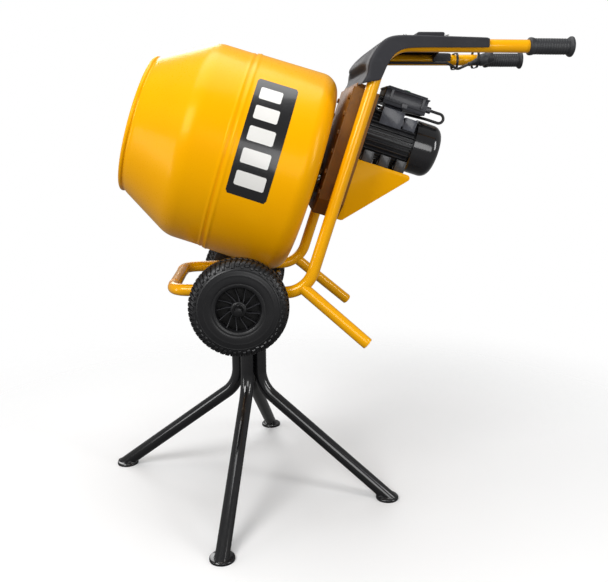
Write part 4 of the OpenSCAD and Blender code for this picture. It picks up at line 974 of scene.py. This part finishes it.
LEAD_LOW = [
    (274, -30, -235), (274, -30, -277), (249, -30, -277), (249, -30, -229), (249, 70, -150),
    (249, 70, -90), (340, 120, -90),
]
LEAD_HIGH = [(30, 150, -12), (240, 148, -12), (272, 148, -30), (304, 148, -16)]
lead = [from_drive(p) for p in LEAD_LOW] + [(BEND_X + x, y, HANDLE_Z + z) for x, y, z in LEAD_HIGH]
lead_line = smooth_path(lead, [13, 13, 18, 18, 20, 16, 16, 20, 16], 10)
piece("mains_lead_sheath", *sweep(lead_line, 3.9), STAND, "cable_rubber", "frame", ["mains_lead"],
      slot="cable_rubber")
plug = [(0, 0.5), (5.6, 0.5), (6.2, 3), (5.2, 6)]
for k in range(5):
    z = 8 + 4.4 * k
    plug += [(5.6 + k, z), (6.2 + k, z + 1.6), (5.2 + k, z + 2.6)]
plug += [
    (11.5, 30.5), (15.5, 32.5), (16.8, 36), (16.8, 52), (15.6, 54), (15.6, 58), (16.8, 60),
    (16.8, 72), (15.4, 75.6), (12, 76), (11.4, 72), (0, 72),
]
PLUG_WAY = (0.95, 0, 0.31)
plug_base = aimed(STAND, lead[-1], PLUG_WAY)
piece("plug_body", *lathe(plug, 64, closed=False), plug_base, "grip_rubber", "frame", ["lead_plug"],
      sharp=40, slot="cable_rubber")


def strap(name, x, y, z, reach, high):
    """A flat tie round the handle tube and the lead beside it."""
    outer = rounded([(-reach, -high), (reach, -high), (reach, high), (-reach, high)], high - 0.5, 10)
    inner = [(p[0] * (1 - 1.6 / reach), p[1] * (1 - 1.6 / high)) for p in outer]
    n = len(outer)
    verts = [(x + dx, y + p[0], z + p[1]) for dx in (-3.5, 3.5) for ring in (outer, inner) for p in ring]
    faces = []
    for i in range(n):
        j = (i + 1) % n
        faces += [(i, j, 2 * n + j, 2 * n + i), (n + i, 3 * n + i, 3 * n + j, n + j), (i, n + i, n + j, j),
                  (2 * n + i, 2 * n + j, 3 * n + j, 3 * n + i)]
    piece(name, verts, faces, STAND, "cable_rubber", "frame", sharp=50, slot="cable_rubber")


strap("lead_tie_a", BEND_X + 268, 172.5, HANDLE_Z - 6, 39.5, 23.5)
strap("lead_tie_b", BEND_X + 330, 171.5, HANDLE_Z + 1, 40.5, 26)
motor_lead = smooth_path(
    [(268, -44, -97), (268, -44, -84), (231, -50, -84), (231, -50, -104)], [10, 10], 10)
piece("motor_cable_sheath", *sweep(motor_lead, 3.9), DRIVE, "cable_rubber", "frame", ["motor_cable"],
      slot="cable_rubber")

# ------------------------------------------------------------------ floor and light

floor_mat = finish_of("floor", (0.93, 0.93, 0.93), (0.92, 0.92, 0.92), (0.7, 0.8), tone=1.5, grain=60,
                      bump=0.0, specular=0.15)


def fade_out(mat, start, end):
    """The material turns clear between two distances from the origin."""
    nt = mat.node_tree
    coord = nt.nodes.new("ShaderNodeTexCoord")
    length = nt.nodes.new("ShaderNodeVectorMath")
    length.operation = "LENGTH"
    nt.links.new(coord.outputs["Object"], length.inputs[0])
    ramp = nt.nodes.new("ShaderNodeMapRange")
    ramp.interpolation_type = "SMOOTHSTEP"
    ramp.inputs["From Min"].default_value = start
    ramp.inputs["From Max"].default_value = end
    nt.links.new(length.outputs["Value"], ramp.inputs["Value"])
    clear = nt.nodes.new("ShaderNodeBsdfTransparent")
    mix = nt.nodes.new("ShaderNodeMixShader")
    nt.links.new(ramp.outputs["Result"], mix.inputs["Fac"])
    nt.links.new(nt.nodes["Principled BSDF"].outputs["BSDF"], mix.inputs[1])
    nt.links.new(clear.outputs["BSDF"], mix.inputs[2])
    nt.links.new(mix.outputs["Shader"], nt.nodes["Material Output"].inputs["Surface"])


fade_out(floor_mat, 0.6, 1.9)
# the floor throws back less light on to the machine than the camera sees
light_path = floor_mat.node_tree.nodes.new("ShaderNodeLightPath")
floor_colour = floor_mat.node_tree.nodes["Principled BSDF"].inputs["Base Color"]
seen = floor_colour.links[0].from_socket
tone = mix_colour(floor_mat.node_tree, light_path.outputs["Is Camera Ray"], (0.11, 0.11, 0.11), seen)
floor_mat.node_tree.links.new(tone, floor_colour)
disc = [(2.0 * math.cos(TAU * i / 96), 2.0 * math.sin(TAU * i / 96), 0) for i in range(96)]
floor_mesh = bpy.data.meshes.new("floor")
floor_mesh.from_pydata(disc, [], [tuple(range(96))])
floor = bpy.data.objects.new("floor", floor_mesh)
bpy.context.scene.collection.objects.link(floor)
floor_mesh.materials.append(floor_mat)


def softbox(name, place, target, size, power, colour=(1, 1, 1)):
    data = bpy.data.lights.new(name, "AREA")
    data.shape = "RECTANGLE"
    data.size, data.size_y = size
    data.energy = power
    data.color = colour
    obj = bpy.data.objects.new(name, data)
    obj.location = place
    obj.rotation_euler = (Vector(target) - Vector(place)).to_track_quat("-Z", "Y").to_euler()
    bpy.context.scene.collection.objects.link(obj)
    return obj


softbox("key", (-2.2, -2.6, 2.9), (-0.1, 0, 0.9), (1.7, 1.7), 84).data.specular_factor = 0.55
softbox("top", (-0.2, 0.1, 3.4), (0, 0, 0.6), (2.4, 2.0), 50).data.specular_factor = 0.3
softbox("left", (-3.0, -1.2, 0.9), (-0.3, 0, 0.9), (0.6, 1.6), 14)
softbox("side", (2.9, -1.7, 1.7), (0.1, 0, 0.9), (0.7, 1.8), 34)
softbox("front", (0.7, -3.6, 1.5), (0, 0, 0.9), (2.0, 1.4), 30)
softbox("back", (-1.2, 3.0, 2.4), (0, 0, 0.9), (1.6, 1.6), 30)

world = bpy.data.worlds.new("studio")
bpy.context.scene.world = world
world.use_nodes = True
nt = world.node_tree
background = nt.nodes["Background"]
background.inputs["Color"].default_value = (1, 1, 1, 1)
background.inputs["Strength"].default_value = 0.24
shown = nt.nodes.new("ShaderNodeBackground")
shown.inputs["Color"].default_value = (1, 1, 1, 1)
shown.inputs["Strength"].default_value = 1.0
rays = nt.nodes.new("ShaderNodeLightPath")
choice = nt.nodes.new("ShaderNodeMixShader")
nt.links.new(rays.outputs["Is Camera Ray"], choice.inputs["Fac"])
nt.links.new(background.outputs["Background"], choice.inputs[1])
nt.links.new(shown.outputs["Background"], choice.inputs[2])
nt.links.new(choice.outputs["Shader"], nt.nodes["World Output"].inputs["Surface"])
bpy.context.scene.view_settings.view_transform = "Standard"
